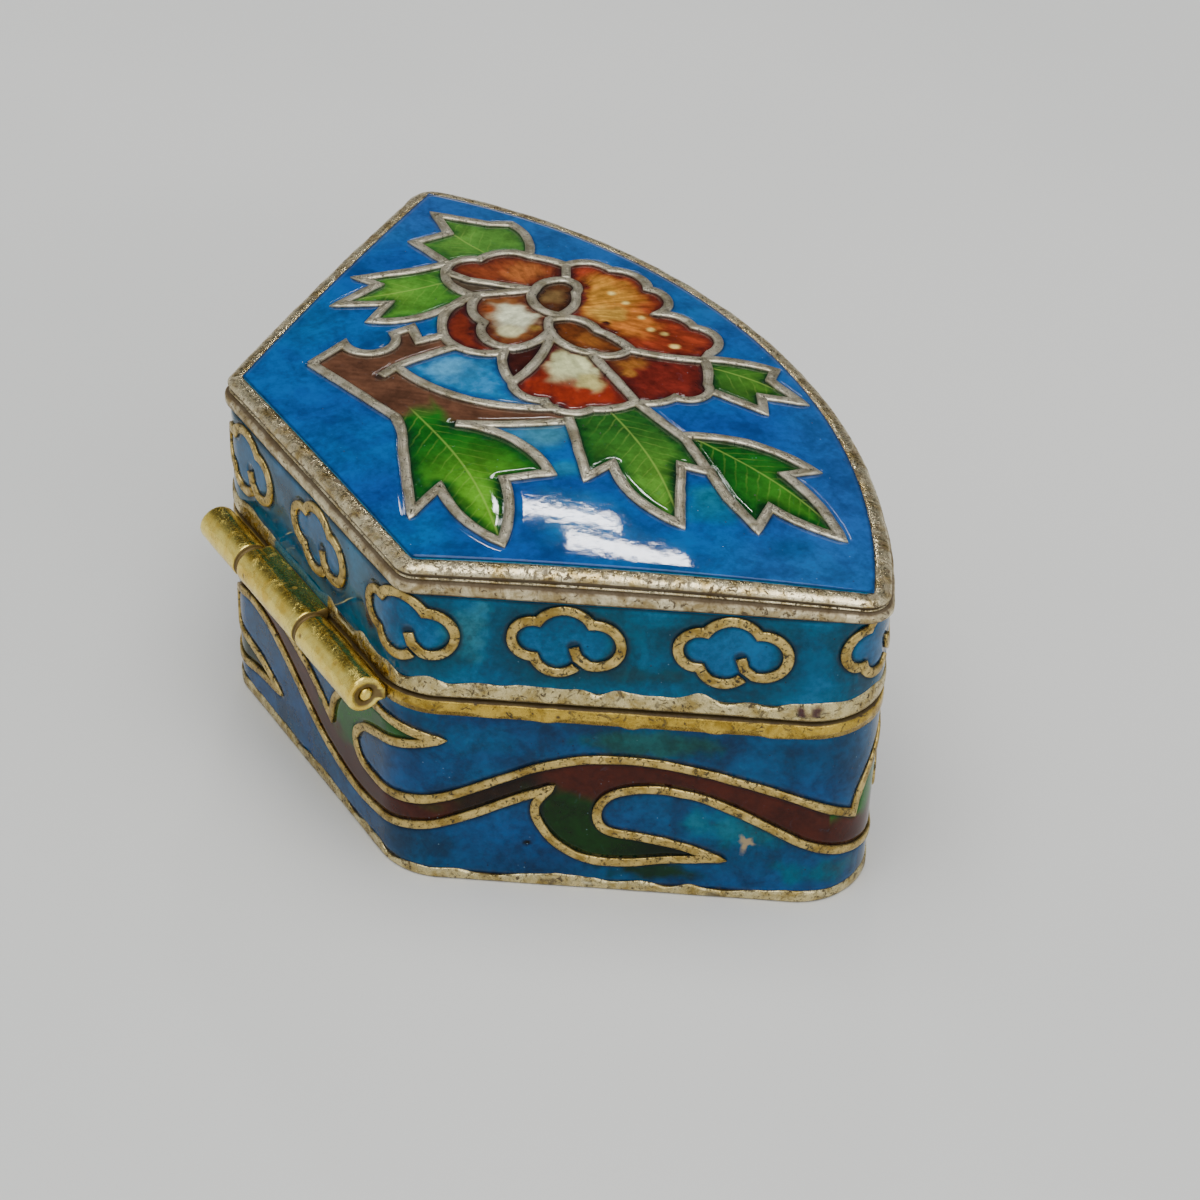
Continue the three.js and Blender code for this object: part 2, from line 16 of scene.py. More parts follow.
import bpy
import numpy as np
from mathutils import Matrix, Vector

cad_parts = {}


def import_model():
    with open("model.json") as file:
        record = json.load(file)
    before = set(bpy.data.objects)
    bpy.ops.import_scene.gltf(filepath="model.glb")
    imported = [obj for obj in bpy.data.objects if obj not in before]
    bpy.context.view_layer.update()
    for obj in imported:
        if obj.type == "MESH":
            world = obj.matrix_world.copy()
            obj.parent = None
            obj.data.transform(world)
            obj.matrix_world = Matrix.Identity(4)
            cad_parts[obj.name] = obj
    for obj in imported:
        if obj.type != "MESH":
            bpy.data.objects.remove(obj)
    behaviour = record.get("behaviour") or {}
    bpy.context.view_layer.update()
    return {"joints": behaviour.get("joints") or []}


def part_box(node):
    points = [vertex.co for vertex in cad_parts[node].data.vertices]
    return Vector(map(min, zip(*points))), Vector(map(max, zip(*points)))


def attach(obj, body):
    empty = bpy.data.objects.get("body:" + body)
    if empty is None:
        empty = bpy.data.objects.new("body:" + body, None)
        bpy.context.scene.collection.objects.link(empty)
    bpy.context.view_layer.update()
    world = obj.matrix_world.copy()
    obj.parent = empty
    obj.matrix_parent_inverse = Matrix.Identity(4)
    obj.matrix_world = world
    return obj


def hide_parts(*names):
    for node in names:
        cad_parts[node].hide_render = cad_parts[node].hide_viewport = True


LOG = logging.getLogger("cloisonne_box")
MM = 0.001
Array = np.ndarray
Colour = tuple[int, int, int]
Point = tuple[float, ...]
Place = Callable[[Array, Array, Array], Array]
Socket = bpy.types.NodeSocket


class Body(str, Enum):
    """The two rigid bodies of the box."""

    BASE = "base"
    LID = "lid"


class Slot(str, Enum):
    """The record's material slots."""

    ENAMEL = "enamel"
    STRIP = "gilt_strip"
    WIRE = "gilt_wire"
    HINGE = "hinge_brass"


class Seed(IntEnum):
    """Starting number of each random pattern, so that every run draws the same box."""

    LEAF_GLOW = 3
    RIM_WIDE = 7
    RIM_FINE = 8
    BLOT = 11
    WOOD_EDGE = 12
    WOOD_GRAIN = 13
    SEA = 21
    SEA_QUICK = 22
    SEA_FRONT = 23
    POOL = 24
    PICTURE_SWELL = 31
    WALL_SWELL = 33
    PICTURE_WIRES = 40
    CLOUD_GROUND = 51
    CLOUD_HALO = 52
    VINE_GROUND = 61
    VINE_QUICK = 62
    VINE_EDGE = 63
    CHIP = 64
    STAIN = 71
    STAIN_FINE = 72
    CLOUD_WIRES = 90
    VINE_WIRES = 120


# ---- small tools


def light(colour: Colour) -> Array:
    """An 8-bit display colour as linear red, green and blue."""
    parts = np.array(colour, float) / 255
    return np.where(parts <= 0.04045, parts / 12.92, ((parts + 0.055) / 1.055) ** 2.4)


def linear(colour: Colour) -> tuple[float, ...]:
    """The same with full opacity, as a node's socket takes it."""
    return (*light(colour).tolist(), 1.0)


def smooth(low: float, high: float, value: Array) -> Array:
    """Rises smoothly from 0 at low to 1 at high."""
    t = np.clip((value - low) / (high - low), 0, 1)
    return t * t * (3 - 2 * t)


def blend(under: Array, over: Array, share: Array | float) -> Array:
    """Lays one set of colours over another by a share for each point."""
    share = np.reshape(share, (-1, 1))
    return under * (1 - share) + over * share


def drift(x: Array, y: Array, size: float, seed: int) -> Array:
    """Smooth random values between 0 and 1 over a plane.

    Args:
        x, y: the points.
        size: distance over which the values change.
        seed: picks the pattern.

    Returns:
        One value for each point.
    """
    span = 64
    table = np.random.default_rng(seed).random((span, span))
    gx, gy = np.asarray(x) / size, np.asarray(y) / size
    ix, iy = np.floor(gx).astype(int), np.floor(gy).astype(int)
    fx, fy = smooth(0, 1, gx - ix), smooth(0, 1, gy - iy)
    near = table[ix % span, iy % span] * (1 - fx) + table[(ix + 1) % span, iy % span] * fx
    far = table[ix % span, (iy + 1) % span] * (1 - fx) + table[(ix + 1) % span, (iy + 1) % span] * fx
    return near * (1 - fy) + far * fy


def waver(x: Array, y: Array, size: float, seed: int) -> Array:
    """The same drift, centred on nothing, from -0.5 to 0.5."""
    return drift(x, y, size, seed) - 0.5


# ---- the fan


def heading(angle: float) -> Array:
    """Unit vector at an angle from +X."""
    return np.array([math.cos(angle), math.sin(angle)])


def straight(start: Array, end: Array, facing: float, count: int) -> Array:
    """Points and normals along a straight side, its end left out."""
    t = (np.arange(count) / count)[:, None]
    return np.column_stack([start + (end - start) * t, heading(facing) * np.ones((count, 1))])


def rounded(centre: Array, radius: float, start: float, end: float, count: int) -> Array:
    """Points and normals along an arc between two angles, its end left out.

    Args:
        centre: of the arc.
        radius: of the arc.
        start: angle of its first point.
        end: angle that it runs up to.
        count: how many points.

    Returns:
        A row [x, y, normal x, normal y] for each point.
    """
    angles = start + (end - start) * np.arange(count) / count
    way = np.column_stack([np.cos(angles), np.sin(angles)])
    return np.column_stack([centre + radius * way, way])


@dataclass(frozen=True)
class Outline:
    """A closed outline: its points, outward normals and distance run from its start."""

    points: Array
    normals: Array
    run: Array

    @property
    def closed(self) -> Array:
        """The points with the first one again at the end."""
        return np.vstack([self.points, self.points[:1]])

    @property
    def length(self) -> float:
        """Length of the whole outline."""
        return float(self.run[-1])


@dataclass(frozen=True)
class Fan:
    """The fan that every outline of the box is offset from."""

    depth: float = 19.5
    half_narrow: float = 9.9
    half_wide: float = 23.75
    sagitta: float = 8.1
    wall: float = 1.0
    wall_radius: float = 4.0

    @property
    def front_radius(self) -> float:
        """Radius of the curved front."""
        return (self.half_wide**2 + self.sagitta**2) / (2 * self.sagitta)

    @property
    def front_centre(self) -> float:
        """Where the curved front's centre lies along Y."""
        return self.front_radius - self.depth / 2 - self.sagitta

    def outline(self, offset: float, radius: float, step: float) -> Outline:
        """The fan grown by an offset, with rounded corners.

        Args:
            offset: how far outside the fan.
            radius: of the four corners.
            step: spacing of the points, the same number of points for every offset.

        Returns:
            The closed outline, from the middle of the narrow end over -X.
        """
        inset = offset - radius
        slope = math.atan2(self.half_wide - self.half_narrow, self.depth)
        along = np.array([-math.sin(slope), -math.cos(slope)])
        corner = np.array([-self.half_narrow, self.depth / 2])
        corner = corner + inset * np.array([-math.cos(slope), math.sin(slope)])
        back = corner + (self.depth / 2 + inset - corner[1]) / along[1] * along
        middle = np.array([0, self.front_centre])
        rel = corner - middle
        towards = float(rel @ along)
        reach = (self.front_radius + inset) ** 2 - float(rel @ rel)
        front = corner + (-towards + math.sqrt(towards**2 + reach)) * along

        top, side, tip = math.pi / 2, math.pi - slope, 1.5 * math.pi
        turn = math.atan2(front[1] - self.front_centre, front[0]) + 2 * math.pi
        spread = math.asin(self.half_wide / self.front_radius)
        lengths = (self.half_narrow, (side - top) * self.wall_radius, 0.8 * self.depth / math.cos(slope),
                   (tip - spread - side) * self.wall_radius, spread * self.front_radius)
        counts = [max(2, round(length / step)) for length in lengths]
        half = np.vstack([
            straight(np.array([0, back[1] + radius]), back + radius * heading(top), top, counts[0]),
            rounded(back, radius, top, side, counts[1]),
            straight(back + radius * heading(side), front + radius * heading(side), side, counts[2]),
            rounded(front, radius, side, turn, counts[3]),
            rounded(middle, self.front_radius + offset, turn, tip, counts[4]),
        ])
        nose = np.array([[0, self.front_centre - self.front_radius - offset, 0, -1]])
        ring = np.vstack([half, nose, half[1:][::-1] * np.array([-1, 1, -1, 1])])
        closed = np.vstack([ring, ring[:1]])
        run = np.concatenate([[0], np.cumsum(np.hypot(*np.diff(closed[:, :2], axis=0).T))])
        return Outline(ring[:, :2], ring[:, 2:], run)

    def wall_outline(self, offset: float, step: float) -> Outline:
        """An outline parallel to the wall."""
        return self.outline(offset, self.wall_radius - self.wall + offset, step)


@dataclass(frozen=True)
class Crown:
    """The gently domed top of the lid."""

    peak: float = 21.3
    radius_x: float = 420.0
    radius_y: float = 190.0
    centre_y: float = -2.0

    def height(self, x: Array, y: Array) -> Array:
        """Height of the dome over a point of the drawing."""
        return self.peak - x**2 / (2 * self.radius_x) - (y - self.centre_y) ** 2 / (2 * self.radius_y)

    def normal(self, x: float, y: float) -> Vector:
        """Direction square to the dome."""
        return Vector((x / self.radius_x, (y - self.centre_y) / self.radius_y, 1)).normalized()


@dataclass(frozen=True)
class Levels:
    """Heights from the table; recess and roof are thicknesses."""

    foot: float = 0.65
    base_rim: float = 11.38
    seam: float = 12.6
    lid_rim: float = 13.9
    moulding: float = 19.3
    floor: float = 2.0
    recess: float = 0.25
    roof: float = 1.5


@dataclass
class Site:
    """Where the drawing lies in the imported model, and how thick its skin of enamel is."""

    fan: Fan
    crown: Crown
    levels: Levels
    shift: float
    skin: float = 0.12
    _wall: Outline = field(init=False)

    def __post_init__(self) -> None:
        """Works out the wall's outline once."""
        self._wall = self.fan.wall_outline(self.fan.wall, 0.05)

    @property
    def wall_length(self) -> float:
        """Length of the wall's outline, which drawings on the wall are measured along."""
        return self._wall.length

    def on_top(self, x: Array, y: Array, out: Array) -> Array:
        """Points that lie out above the lid's dome."""
        return np.column_stack([x, y, self.crown.height(x, y) + out])

    def on_wall(self, s: Array, z: Array, out: Array) -> Array:
        """Points that lie out from the wall.

        Args:
            s: distances along it.
            z: heights from the table.
            out: distances out from it.

        Returns:
            A row [x, y, z] for each point.
        """
        wall = self._wall
        ways = np.vstack([wall.normals, wall.normals[:1]])
        at = np.mod(s, wall.length)
        x, y = (np.interp(at, wall.run, column) for column in wall.closed.T)
        across, along = (np.interp(at, wall.run, column) for column in ways.T)
        return np.column_stack([x + out * across, y + out * along, z])


# ---- meshes


def opaque(colour: Array) -> Array:
    """Colours with full opacity."""
    return np.column_stack([colour, np.ones(len(colour))])


def add_object(name: str, data: bpy.types.ID) -> bpy.types.Object:
    """Puts an object into the scene.

    Args:
        name: of the object.
        data: its mesh, light or camera.

    Returns:
        The new object.
    """
    added = bpy.data.objects.new(name, data)
    bpy.context.scene.collection.objects.link(added)
    return added


def add_mesh(name: str, points: list, faces: list, material: bpy.types.Material) -> bpy.types.Object:
    """Makes a smooth-shaded mesh object.

    Args:
        name: of the object and its mesh.
        points: corner points in metres.
        faces: corner indices of each face.
        material: the finish.

    Returns:
        The new object.
    """
    mesh = bpy.data.meshes.new(name)
    mesh.from_pydata(points, [], faces)
    mesh.validate()
    mesh.polygons.foreach_set("use_smooth", np.ones(len(mesh.polygons), bool))
    mesh.materials.append(material)
    return add_object(name, mesh)


@dataclass
class Piece:
    """One visible piece of the box, made from points of the drawing."""

    name: str
    body: Body
    slot: Slot
    replaces: tuple[str, ...] = ()
    layer_kinds = {1: ("FLOAT", "value"), 3: ("FLOAT_VECTOR", "vector"), 4: ("FLOAT_COLOR", "color")}

    def build(self, site: Site, points: Array, faces: list, material: bpy.types.Material,
              **layers: Array) -> None:
        """Makes the mesh object and ties it to its body.

        Args:
            site: where the drawing lies.
            points: corner points in millimetres.
            faces: corner indices of each face.
            material: the finish.
            **layers: a number, vector or opaque colour for each point, by attribute name.
        """
        placed = (points + np.array([0, site.shift, 0])) * MM
        piece = add_mesh(self.name, placed.tolist(), faces, material)
        for name, values in layers.items():
            data_type, value_field = self.layer_kinds[values.size // len(points)]
            layer = piece.data.attributes.new(name, data_type, "POINT")
            layer.data.foreach_set(value_field, values.astype(np.float32).ravel())
        piece.data.update()
        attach(piece, self.body.value)
        if self.replaces:
            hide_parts(*self.replaces)
        LOG.info("%s: %d faces on %s", self.name, len(piece.data.polygons), self.body.value)


def quads(rings: int, across: int, loop: bool, wrap: bool) -> list:
    """Faces between neighbouring rings of points.

    Args:
        rings: how many rings follow each other.
        across: points in each ring.
        loop: whether each ring is closed.
        wrap: whether the last ring joins the first.

    Returns:
        Four corner indices for each face.
    """
    a, b = np.meshgrid(np.arange(rings if wrap else rings - 1), np.arange(across if loop else across - 1),
                       indexing="ij")
    after, beside = (a + 1) % rings, (b + 1) % across
    corners = [a * across + b, a * across + beside, after * across + beside, after * across + b]
    return np.stack(corners, -1).reshape(-1, 4).tolist()


def turned_over(faces: list) -> list:
    """The same faces seen from their other side."""
    return [face[::-1] for face in faces]


def tube(rings: Sequence[Array], first: Array, last: Array) -> tuple[Array, list]:
    """A closed solid from rings of points that all have the same count.

    Args:
        rings: the rings in order.
        first: middle of the cap on the first ring.
        last: middle of the cap on the last ring.

    Returns:
        Its points and faces.
    """
    count = len(rings[0])
    end = len(rings) * count
    pairs = [(k, (k + 1) % count) for k in range(count)]
    faces = quads(len(rings), count, True, False)
    faces += [(end, beside, k) for k, beside in pairs]
    faces += [(end - count + k, end - count + beside, end + 1) for k, beside in pairs]
    return np.vstack([*rings, [first], [last]]), faces


# ---- drawn wires


def arc_line(points: Sequence[Point], closed: bool = False, step: float = 0.1) -> list[Array]:
    """Draws a line through [x, y, bow] points.

    Args:
        points: corner points. The stretch that leaves a point swells to its left by bow times
            half its chord.
        closed: whether the line comes back to its start.
        step: spacing of the drawn points.

    Returns:
        One array of points for each stretch, ends included.
    """
    ends = [*points, points[0]] if closed else list(points)
    stretches = []
    for start, end in zip(ends, ends[1:]):
        a, b = np.array(start[:2], float), np.array(end[:2], float)
        bow = start[2] if len(start) > 2 else 0.0
        chord = b - a
        if not bow:
            t = np.linspace(0, 1, max(2, math.ceil(np.hypot(*chord) / step)))[:, None]
            stretches.append(a + chord * t)
            continue
        centre = (a + b) / 2 + np.array([-chord[1], chord[0]]) * (bow - 1 / bow) / 4
        sweep = -4 * math.atan(bow)
        arm = a - centre
        angle = np.linspace(0, sweep, max(3, math.ceil(abs(sweep) * np.hypot(*arm) / step)))
        turned = [arm[0] * np.cos(angle) - arm[1] * np.sin(angle),
                  arm[0] * np.sin(angle) + arm[1] * np.cos(angle)]
        stretches.append(centre + np.column_stack(turned))
    return stretches


def spline_line(points: Sequence[Point], step: float = 0.1) -> Array:
    """Draws a smooth line through points, by the same rule as the wires' solids.

    Args:
        points: what it passes through.
        step: spacing of the drawn points.

    Returns:
        The drawn points, ends included.
    """
    p = np.array(points, float)
    p = np.vstack([p[:1], p, p[-1:]])
    drawn = []
    for k in range(1, len(p) - 2):
        count = max(2, math.ceil(np.hypot(*(p[k + 1] - p[k])) / step))
        t = (np.arange(count) / count)[:, None]
        v0, v1 = (p[k + 1] - p[k - 1]) / 2, (p[k + 2] - p[k]) / 2
        cubic = 2 * (p[k] - p[k + 1]) + v0 + v1
        square = -3 * (p[k] - p[k + 1]) - 2 * v0 - v1
        drawn.append(cubic * t**3 + square * t**2 + v0 * t + p[k])
    return np.vstack([*drawn, p[-2:-1]])


@dataclass
class WireRun:
    """A bent wire: stretches of drawn points, sharp only where one meets the next."""

    stretches: list[Array]
    closed: bool = False
    period: float = 0.0

    def line(self) -> Array:
        """All its points in order.

        Returns:
            The points without doubles; a closed wire's start isn't repeated at its end.
        """
        parts = [s[:-1] for s in self.stretches]
        if not self.closed:
            parts.append(self.stretches[-1][-1:])
        return np.vstack(parts)

    def segments(self) -> tuple[Array, Array]:
        """Start and end points of every short piece of the line."""
        line = np.vstack(self.stretches)
        return line[:-1], line[1:]


@dataclass
class WireStyle:
    """How the flat wires are made: a worn strip on edge, with mitred corners."""

    width: float
    bottom: float = 0.02
    top: float = 0.25
    shoulder: float = 0.05
    uneven: float = 0.07
    uneven_top: float = 0.02
    mitre: float = 1.9

    def sweep(self, run: WireRun, place: Place, seed: int) -> tuple[Array, list]:
        """Makes one wire.

        Args:
            run: the drawn line.
            place: lays drawing points on the surface.
            seed: picks the wire's unevenness.

        Returns:
            Points and faces of the closed solid.
        """
        line = run.line()
        count = len(line)
        before, after = np.roll(line, 1, 0), np.roll(line, -1, 0)
        if run.closed:
            before[0, 0] -= run.period
            after[-1, 0] += run.period
        else:
            before[0], after[-1] = 2 * line[0] - line[1], 2 * line[-1] - line[-2]
        incoming, outgoing = line - before, after - line
        incoming /= np.hypot(*incoming.T)[:, None] + 1e-12
        outgoing /= np.hypot(*outgoing.T)[:, None] + 1e-12
        across = np.column_stack([-(incoming + outgoing)[:, 1], (incoming + outgoing)[:, 0]])
        across /= np.hypot(*across.T)[:, None] + 1e-12
        square = np.abs(across[:, 0] * -incoming[:, 1] + across[:, 1] * incoming[:, 0])
        reach = np.minimum(1 / np.maximum(square, 1e-6), self.mitre)
        x, y = line.T
        left = (self.width / 2 + self.uneven * waver(x, y, 1.1, seed)) * reach
        right = -(self.width / 2 + self.uneven * waver(x, y, 0.9, seed + 9)) * reach
        top = self.top + self.uneven_top * waver(x, y, 0.7, seed + 5)
        low, shy = np.full(count, self.bottom), self.shoulder
        profile = [(right, low), (right, top - shy), (right + shy * 1.2, top - shy * 0.25),
                   (right * 0.45, top), (left * 0.45, top), (left - shy * 1.2, top - shy * 0.25),
                   (left, top - shy), (left, low)]
        corners = [place(x + across[:, 0] * out, y + across[:, 1] * out, up) for out, up in profile]
        sides = len(profile)
        faces = quads(count, sides, True, run.closed)
        if not run.closed:
            faces += [tuple(range(sides))[::-1], tuple(range((count - 1) * sides, count * sides))]
        return np.stack(corners, 1).reshape(-1, 3), turned_over(faces)

    def bend_all(self, runs: Sequence[WireRun], place: Place, seed: int) -> tuple[Array, list]:
        """Makes several wires as one mesh.

        Args:
            runs: the drawn lines.
            place: lays drawing points on the surface.
            seed: picks the first wire's unevenness; each next one adds 1.

        Returns:
            Points and faces of all the wires.
        """
        points, faces, start = [], [], 0
        for k, run in enumerate(runs):
            wire_points, wire_faces = self.sweep(run, place, seed + k)
            points.append(wire_points)
            faces += [tuple(index + start for index in face) for face in wire_faces]
            start += len(wire_points)
        return np.vstack(points), faces


def distance_to(runs: Sequence[WireRun], x: Array, y: Array, reach: float) -> Array:
    """Distance from points to the nearest of several drawn lines.

    Args:
        runs: the lines.
        x, y: the points.
        reach: distances beyond this are cut off.

    Returns:
        One distance for each point.
    """
    best = np.full(x.shape, reach)
    for run in runs:
        for a, b in zip(*run.segments()):
            low, high = np.minimum(a, b) - reach, np.maximum(a, b) + reach
            near = np.flatnonzero((x > low[0]) & (x < high[0]) & (y > low[1]) & (y < high[1]))
            if not len(near):
                continue
            way = b - a
            t = ((x[near] - a[0]) * way[0] + (y[near] - a[1]) * way[1]) / max(float(way @ way), 1e-12)
            t = np.clip(t, 0, 1)
            gap = np.hypot(x[near] - a[0] - t * way[0], y[near] - a[1] - t * way[1])
            best[near] = np.minimum(best[near], gap)
    return best


def coarser(runs: Sequence[WireRun], keep: int) -> list[WireRun]:
    """The same lines with fewer points, for measuring distances.

    Args:
        runs: the lines.
        keep: one point of this many stays, and every corner.

    Returns:
        The thinned lines.
    """
    thin = []
    for run in runs:
        stretches = [np.vstack([s[:-1:keep], s[-1:]]) for s in run.stretches]
        thin.append(WireRun(stretches, run.closed, run.period))
    return thin


@dataclass
class PictureDrawing:
    """The peony spray on the lid, as the wires draw it.

    edge goes round the flower, rings round its two hearts, and walls part its petals.
    """

    edge: tuple = (
        (14.7, -6.1, 0.35), (14.5, -8.1, 0.45), (13.5, -11.0, 0.1), (11.6, -12.35, 0.49), (10.0, -14.5, 0.43),
        (7.1, -15.3, 0.6), (4.3, -14.2, 0.36), (2.1, -15.3, 0.64), (-0.8, -14.5), (-1.35, -13.75, 0.1),
        (-3.65, -12.5, 0.74), (-4.05, -10.1, 0.31), (-3.5, -7.85, 0.2), (-3.05, -5.25, 0.58),
        (-1.1, -3.4, 0.43), (1.4, -2.75, 0.14), (4.4, -3.9, 0.4), (7.2, -1.8, 0.35), (10.8, -5.6, 0.4))
    rings: tuple = (
        ((9.8, -9.2, 0.4), (10.0, -11.4, 0.45), (8.4, -11.1, 0.26), (6.5, -8.9, 0.5)),
        ((6.35, -8.1, 0.5), (4.1, -9.95, 0.1), (1.6, -10.6, 0.5), (2.0, -8.4, 0.43)))
    walls: tuple = (
        ((13.9, -5.6), (12.6, -6.2), (9.9, -9.0)), ((10.8, -5.7), (9.85, -8.9)),
        ((11.5, -12.3), (10.2, -11.5)), ((1.35, -10.5, -0.08), (-1.35, -13.7)),
        ((2.0, -8.3), (-3.5, -7.85)), ((5.2, -7.55, 0.15), (1.4, -2.8)),
        ((5.4, -7.6, 0.25), (4.5, -4.6, 0.5), (7.8, -4.55, 0.35), (10.6, -5.8)))
    branch: tuple = (
        ((8.8, 6.0), (9.7, 3.45, -1.05), (9.2, 0.5), (9.3, -0.7), (7.8, -0.35), (7.65, -1.85)),
        ((5.65, 3.25), (6.05, 1.9, 0.04), (6.2, -1.85)), ((6.05, 2.05, -0.28), (-2.1, -3.7)),
        ((-0.75, 1.95, -0.06), (-3.4, -3.3)))
    leaves: tuple = (
        ((13.7, -11.0, -0.23), (17.7, -12.1), (18.3, -10.9), (20.8, -8.6), (18.35, -8.1), (18.2, -5.7),
         (15.0, -6.15)),
        ((14.9, -6.0), (15.1, -4.0), (15.9, -0.75), (14.65, -1.35), (13.8, 1.75), (12.4, -0.8),
         (11.15, 0.95, -0.2), (10.1, -2.5), (10.45, -4.6)),
        ((8.8, 6.0), (1.6, 4.55, 0.12), (-1.0, 5.5), (-6.7, 8.0), (-5.4, 5.6, -0.18), (-11.3, 5.2, -0.13),
         (-6.5, 2.35), (-7.25, -0.1, -0.28), (-0.7, 2.0)),
        ((-3.2, -3.7), (-8.5, -1.65), (-8.1, -3.5, -0.22), (-14.4, -3.8), (-9.9, -6.75), (-11.1, -7.75),
         (-8.0, -8.3), (-3.5, -7.85)),
        ((-7.5, -8.35, 0.25), (-13.4, -13.0), (-13.1, -11.4, 0.11), (-19.1, -10.85, 0.1), (-15.3, -8.95),
         (-16.6, -7.25), (-13.5, -7.35), (-10.9, -7.85)),
        ((-1.3, -14.0, 0.12), (-3.9, -16.9), (-4.7, -16.05), (-7.35, -16.35), (-5.95, -14.6), (-7.3, -13.85),
         (-4.5, -12.4)))

    def runs(self) -> list[WireRun]:
        """Every wire of the picture.

        Returns:
            The closed wires, then the open ones.
        """
        closed = [WireRun(arc_line(points, True), True) for points in (self.edge, *self.rings)]
        opened = [WireRun(arc_line(points)) for points in (*self.walls, *self.branch, *self.leaves)]
        return closed + opened


@dataclass
class CloudDrawing:
    """The clouds round the lid's wall; points draw one about its own middle."""

    count: int = 14
    first: float = 1.3
    middle: float = 16.95
    points: tuple = ((0.5, -0.35), (0.7, -1.0), (1.25, -1.45, -1.25), (1.4, 1.2, -0.58), (-1.4, 1.2, -1.12),
                     (-1.6, -1.1, -0.6), (0.6, -1.6))

    def middles(self, wall_length: float) -> Array:
        """Where each cloud's middle lies along the wall."""
        return self.first + np.arange(self.count) * wall_length / self.count

    def runs(self, wall_length: float) -> list[WireRun]:
        """Every cloud's wire.

        Args:
            wall_length: length that the clouds share evenly.

        Returns:
            One open wire for each cloud.
        """
        runs = []
        for at in self.middles(wall_length):
            points = [(s + at, z + self.middle, *bow) for s, z, *bow in self.points]
            runs.append(WireRun(arc_line(points, step=0.08)))
        return runs


@dataclass
class VineDrawing:
    """One side of the winding vine, repeated round the base.

    A place along the pattern and the same place along the wall differ round the curved front,
    where the pattern is drawn a little closer so that whole waves go round.
    """

    root: float
    leaf_out: tuple
    back_and_stem: tuple
    waves: int = 4
    wave_length: float = 32.5
    even_to: float = 50.6
    first_root: float = 2.4
    lead: float = 1.5

    @property
    def whole(self) -> float:
        """Length of all the waves in the pattern's own measure."""
        return self.waves * self.wave_length

    def squeeze(self, wall_length: float) -> float:
        """How much closer the pattern is drawn beyond even_to."""
        return (wall_length + self.first_root - self.even_to) / (self.whole + self.first_root - self.even_to)

    def along_wall(self, place: float, wall_length: float) -> float:
        """Where a place of the pattern lies along the wall.

        Args:
            place: distance along the pattern.
            wall_length: length of the wall.

        Returns:
            Distance along the wall.
        """
        turns = math.floor((place - self.first_root) / self.whole)
        rest = place - turns * self.whole
        if rest > self.even_to:
            rest = self.even_to + (rest - self.even_to) * self.squeeze(wall_length)
        return turns * wall_length + rest

    def past_root(self, s: Array, wall_length: float) -> Array:
        """How far places along the wall lie past the last root.

        Args:
            s: distances along the wall.
            wall_length: length of the wall.

        Returns:
            Distances in the pattern's own measure, from -lead up to a wave's length less lead.
        """
        start = self.first_root - self.lead
        s = np.mod(np.asarray(s, float) - start, wall_length) + start
        beyond = self.even_to + (s - self.even_to) / self.squeeze(wall_length)
        pattern = np.where(s > self.even_to, beyond, s)
        return np.mod(pattern - self.root + self.lead, self.wave_length) - self.lead

    def run(self, wall_length: float) -> WireRun:
        """The wire, closed round the base.

        Args:
            wall_length: length of the wall.

        Returns:
            The drawn wire.
        """
        stretches = []
        for wave in range(self.waves):
            root = self.root + wave * self.wave_length
            for drawn in (self.leaf_out, self.back_and_stem):
                points = [(self.along_wall(root + x, wall_length), z) for x, z in drawn]
                stretches.append(spline_line(points))
        return WireRun(stretches, True, wall_length)


UPPER_VINE = VineDrawing(
    2.4, ((0, 5.6), (0.6, 7.4), (2.5, 9.3), (5.4, 10.1), (7.6, 10.1), (9.7, 9.75)),
    ((9.7, 9.75), (7.6, 8.95), (5.6, 8.3), (3.8, 7.5), (2.95, 6.3), (3.5, 5.2), (5.0, 4.9), (7.6, 5.2),
     (10.1, 5.9), (12.6, 7.1), (15.1, 8.35), (17.6, 9.1), (20.6, 9.25), (23.6, 8.85), (26.6, 8.1),
     (29.6, 7.15), (32.5, 5.6)))
LOWER_VINE = VineDrawing(
    18.1, ((0, 6.9), (-0.7, 5.7), (-0.45, 4.4), (0.6, 3.0), (2.2, 2.15), (4.2, 2.05), (6.8, 2.5),
           (9.4, 2.75)),
    ((9.4, 2.75), (7.2, 3.55), (5.0, 3.95), (3.2, 4.3), (2.65, 5.3), (3.1, 6.5), (4.4, 7.2), (6.2, 7.35),
     (8.2, 7.0), (10.2, 6.2), (12.2, 5.15), (14.2, 4.1), (16.2, 3.3), (18.4, 2.75), (20.4, 2.6), (22.4, 2.85),
     (24.4, 3.3), (26.4, 3.9), (28.4, 4.8), (30.4, 5.9), (32.5, 6.9)))


# ---- finishes


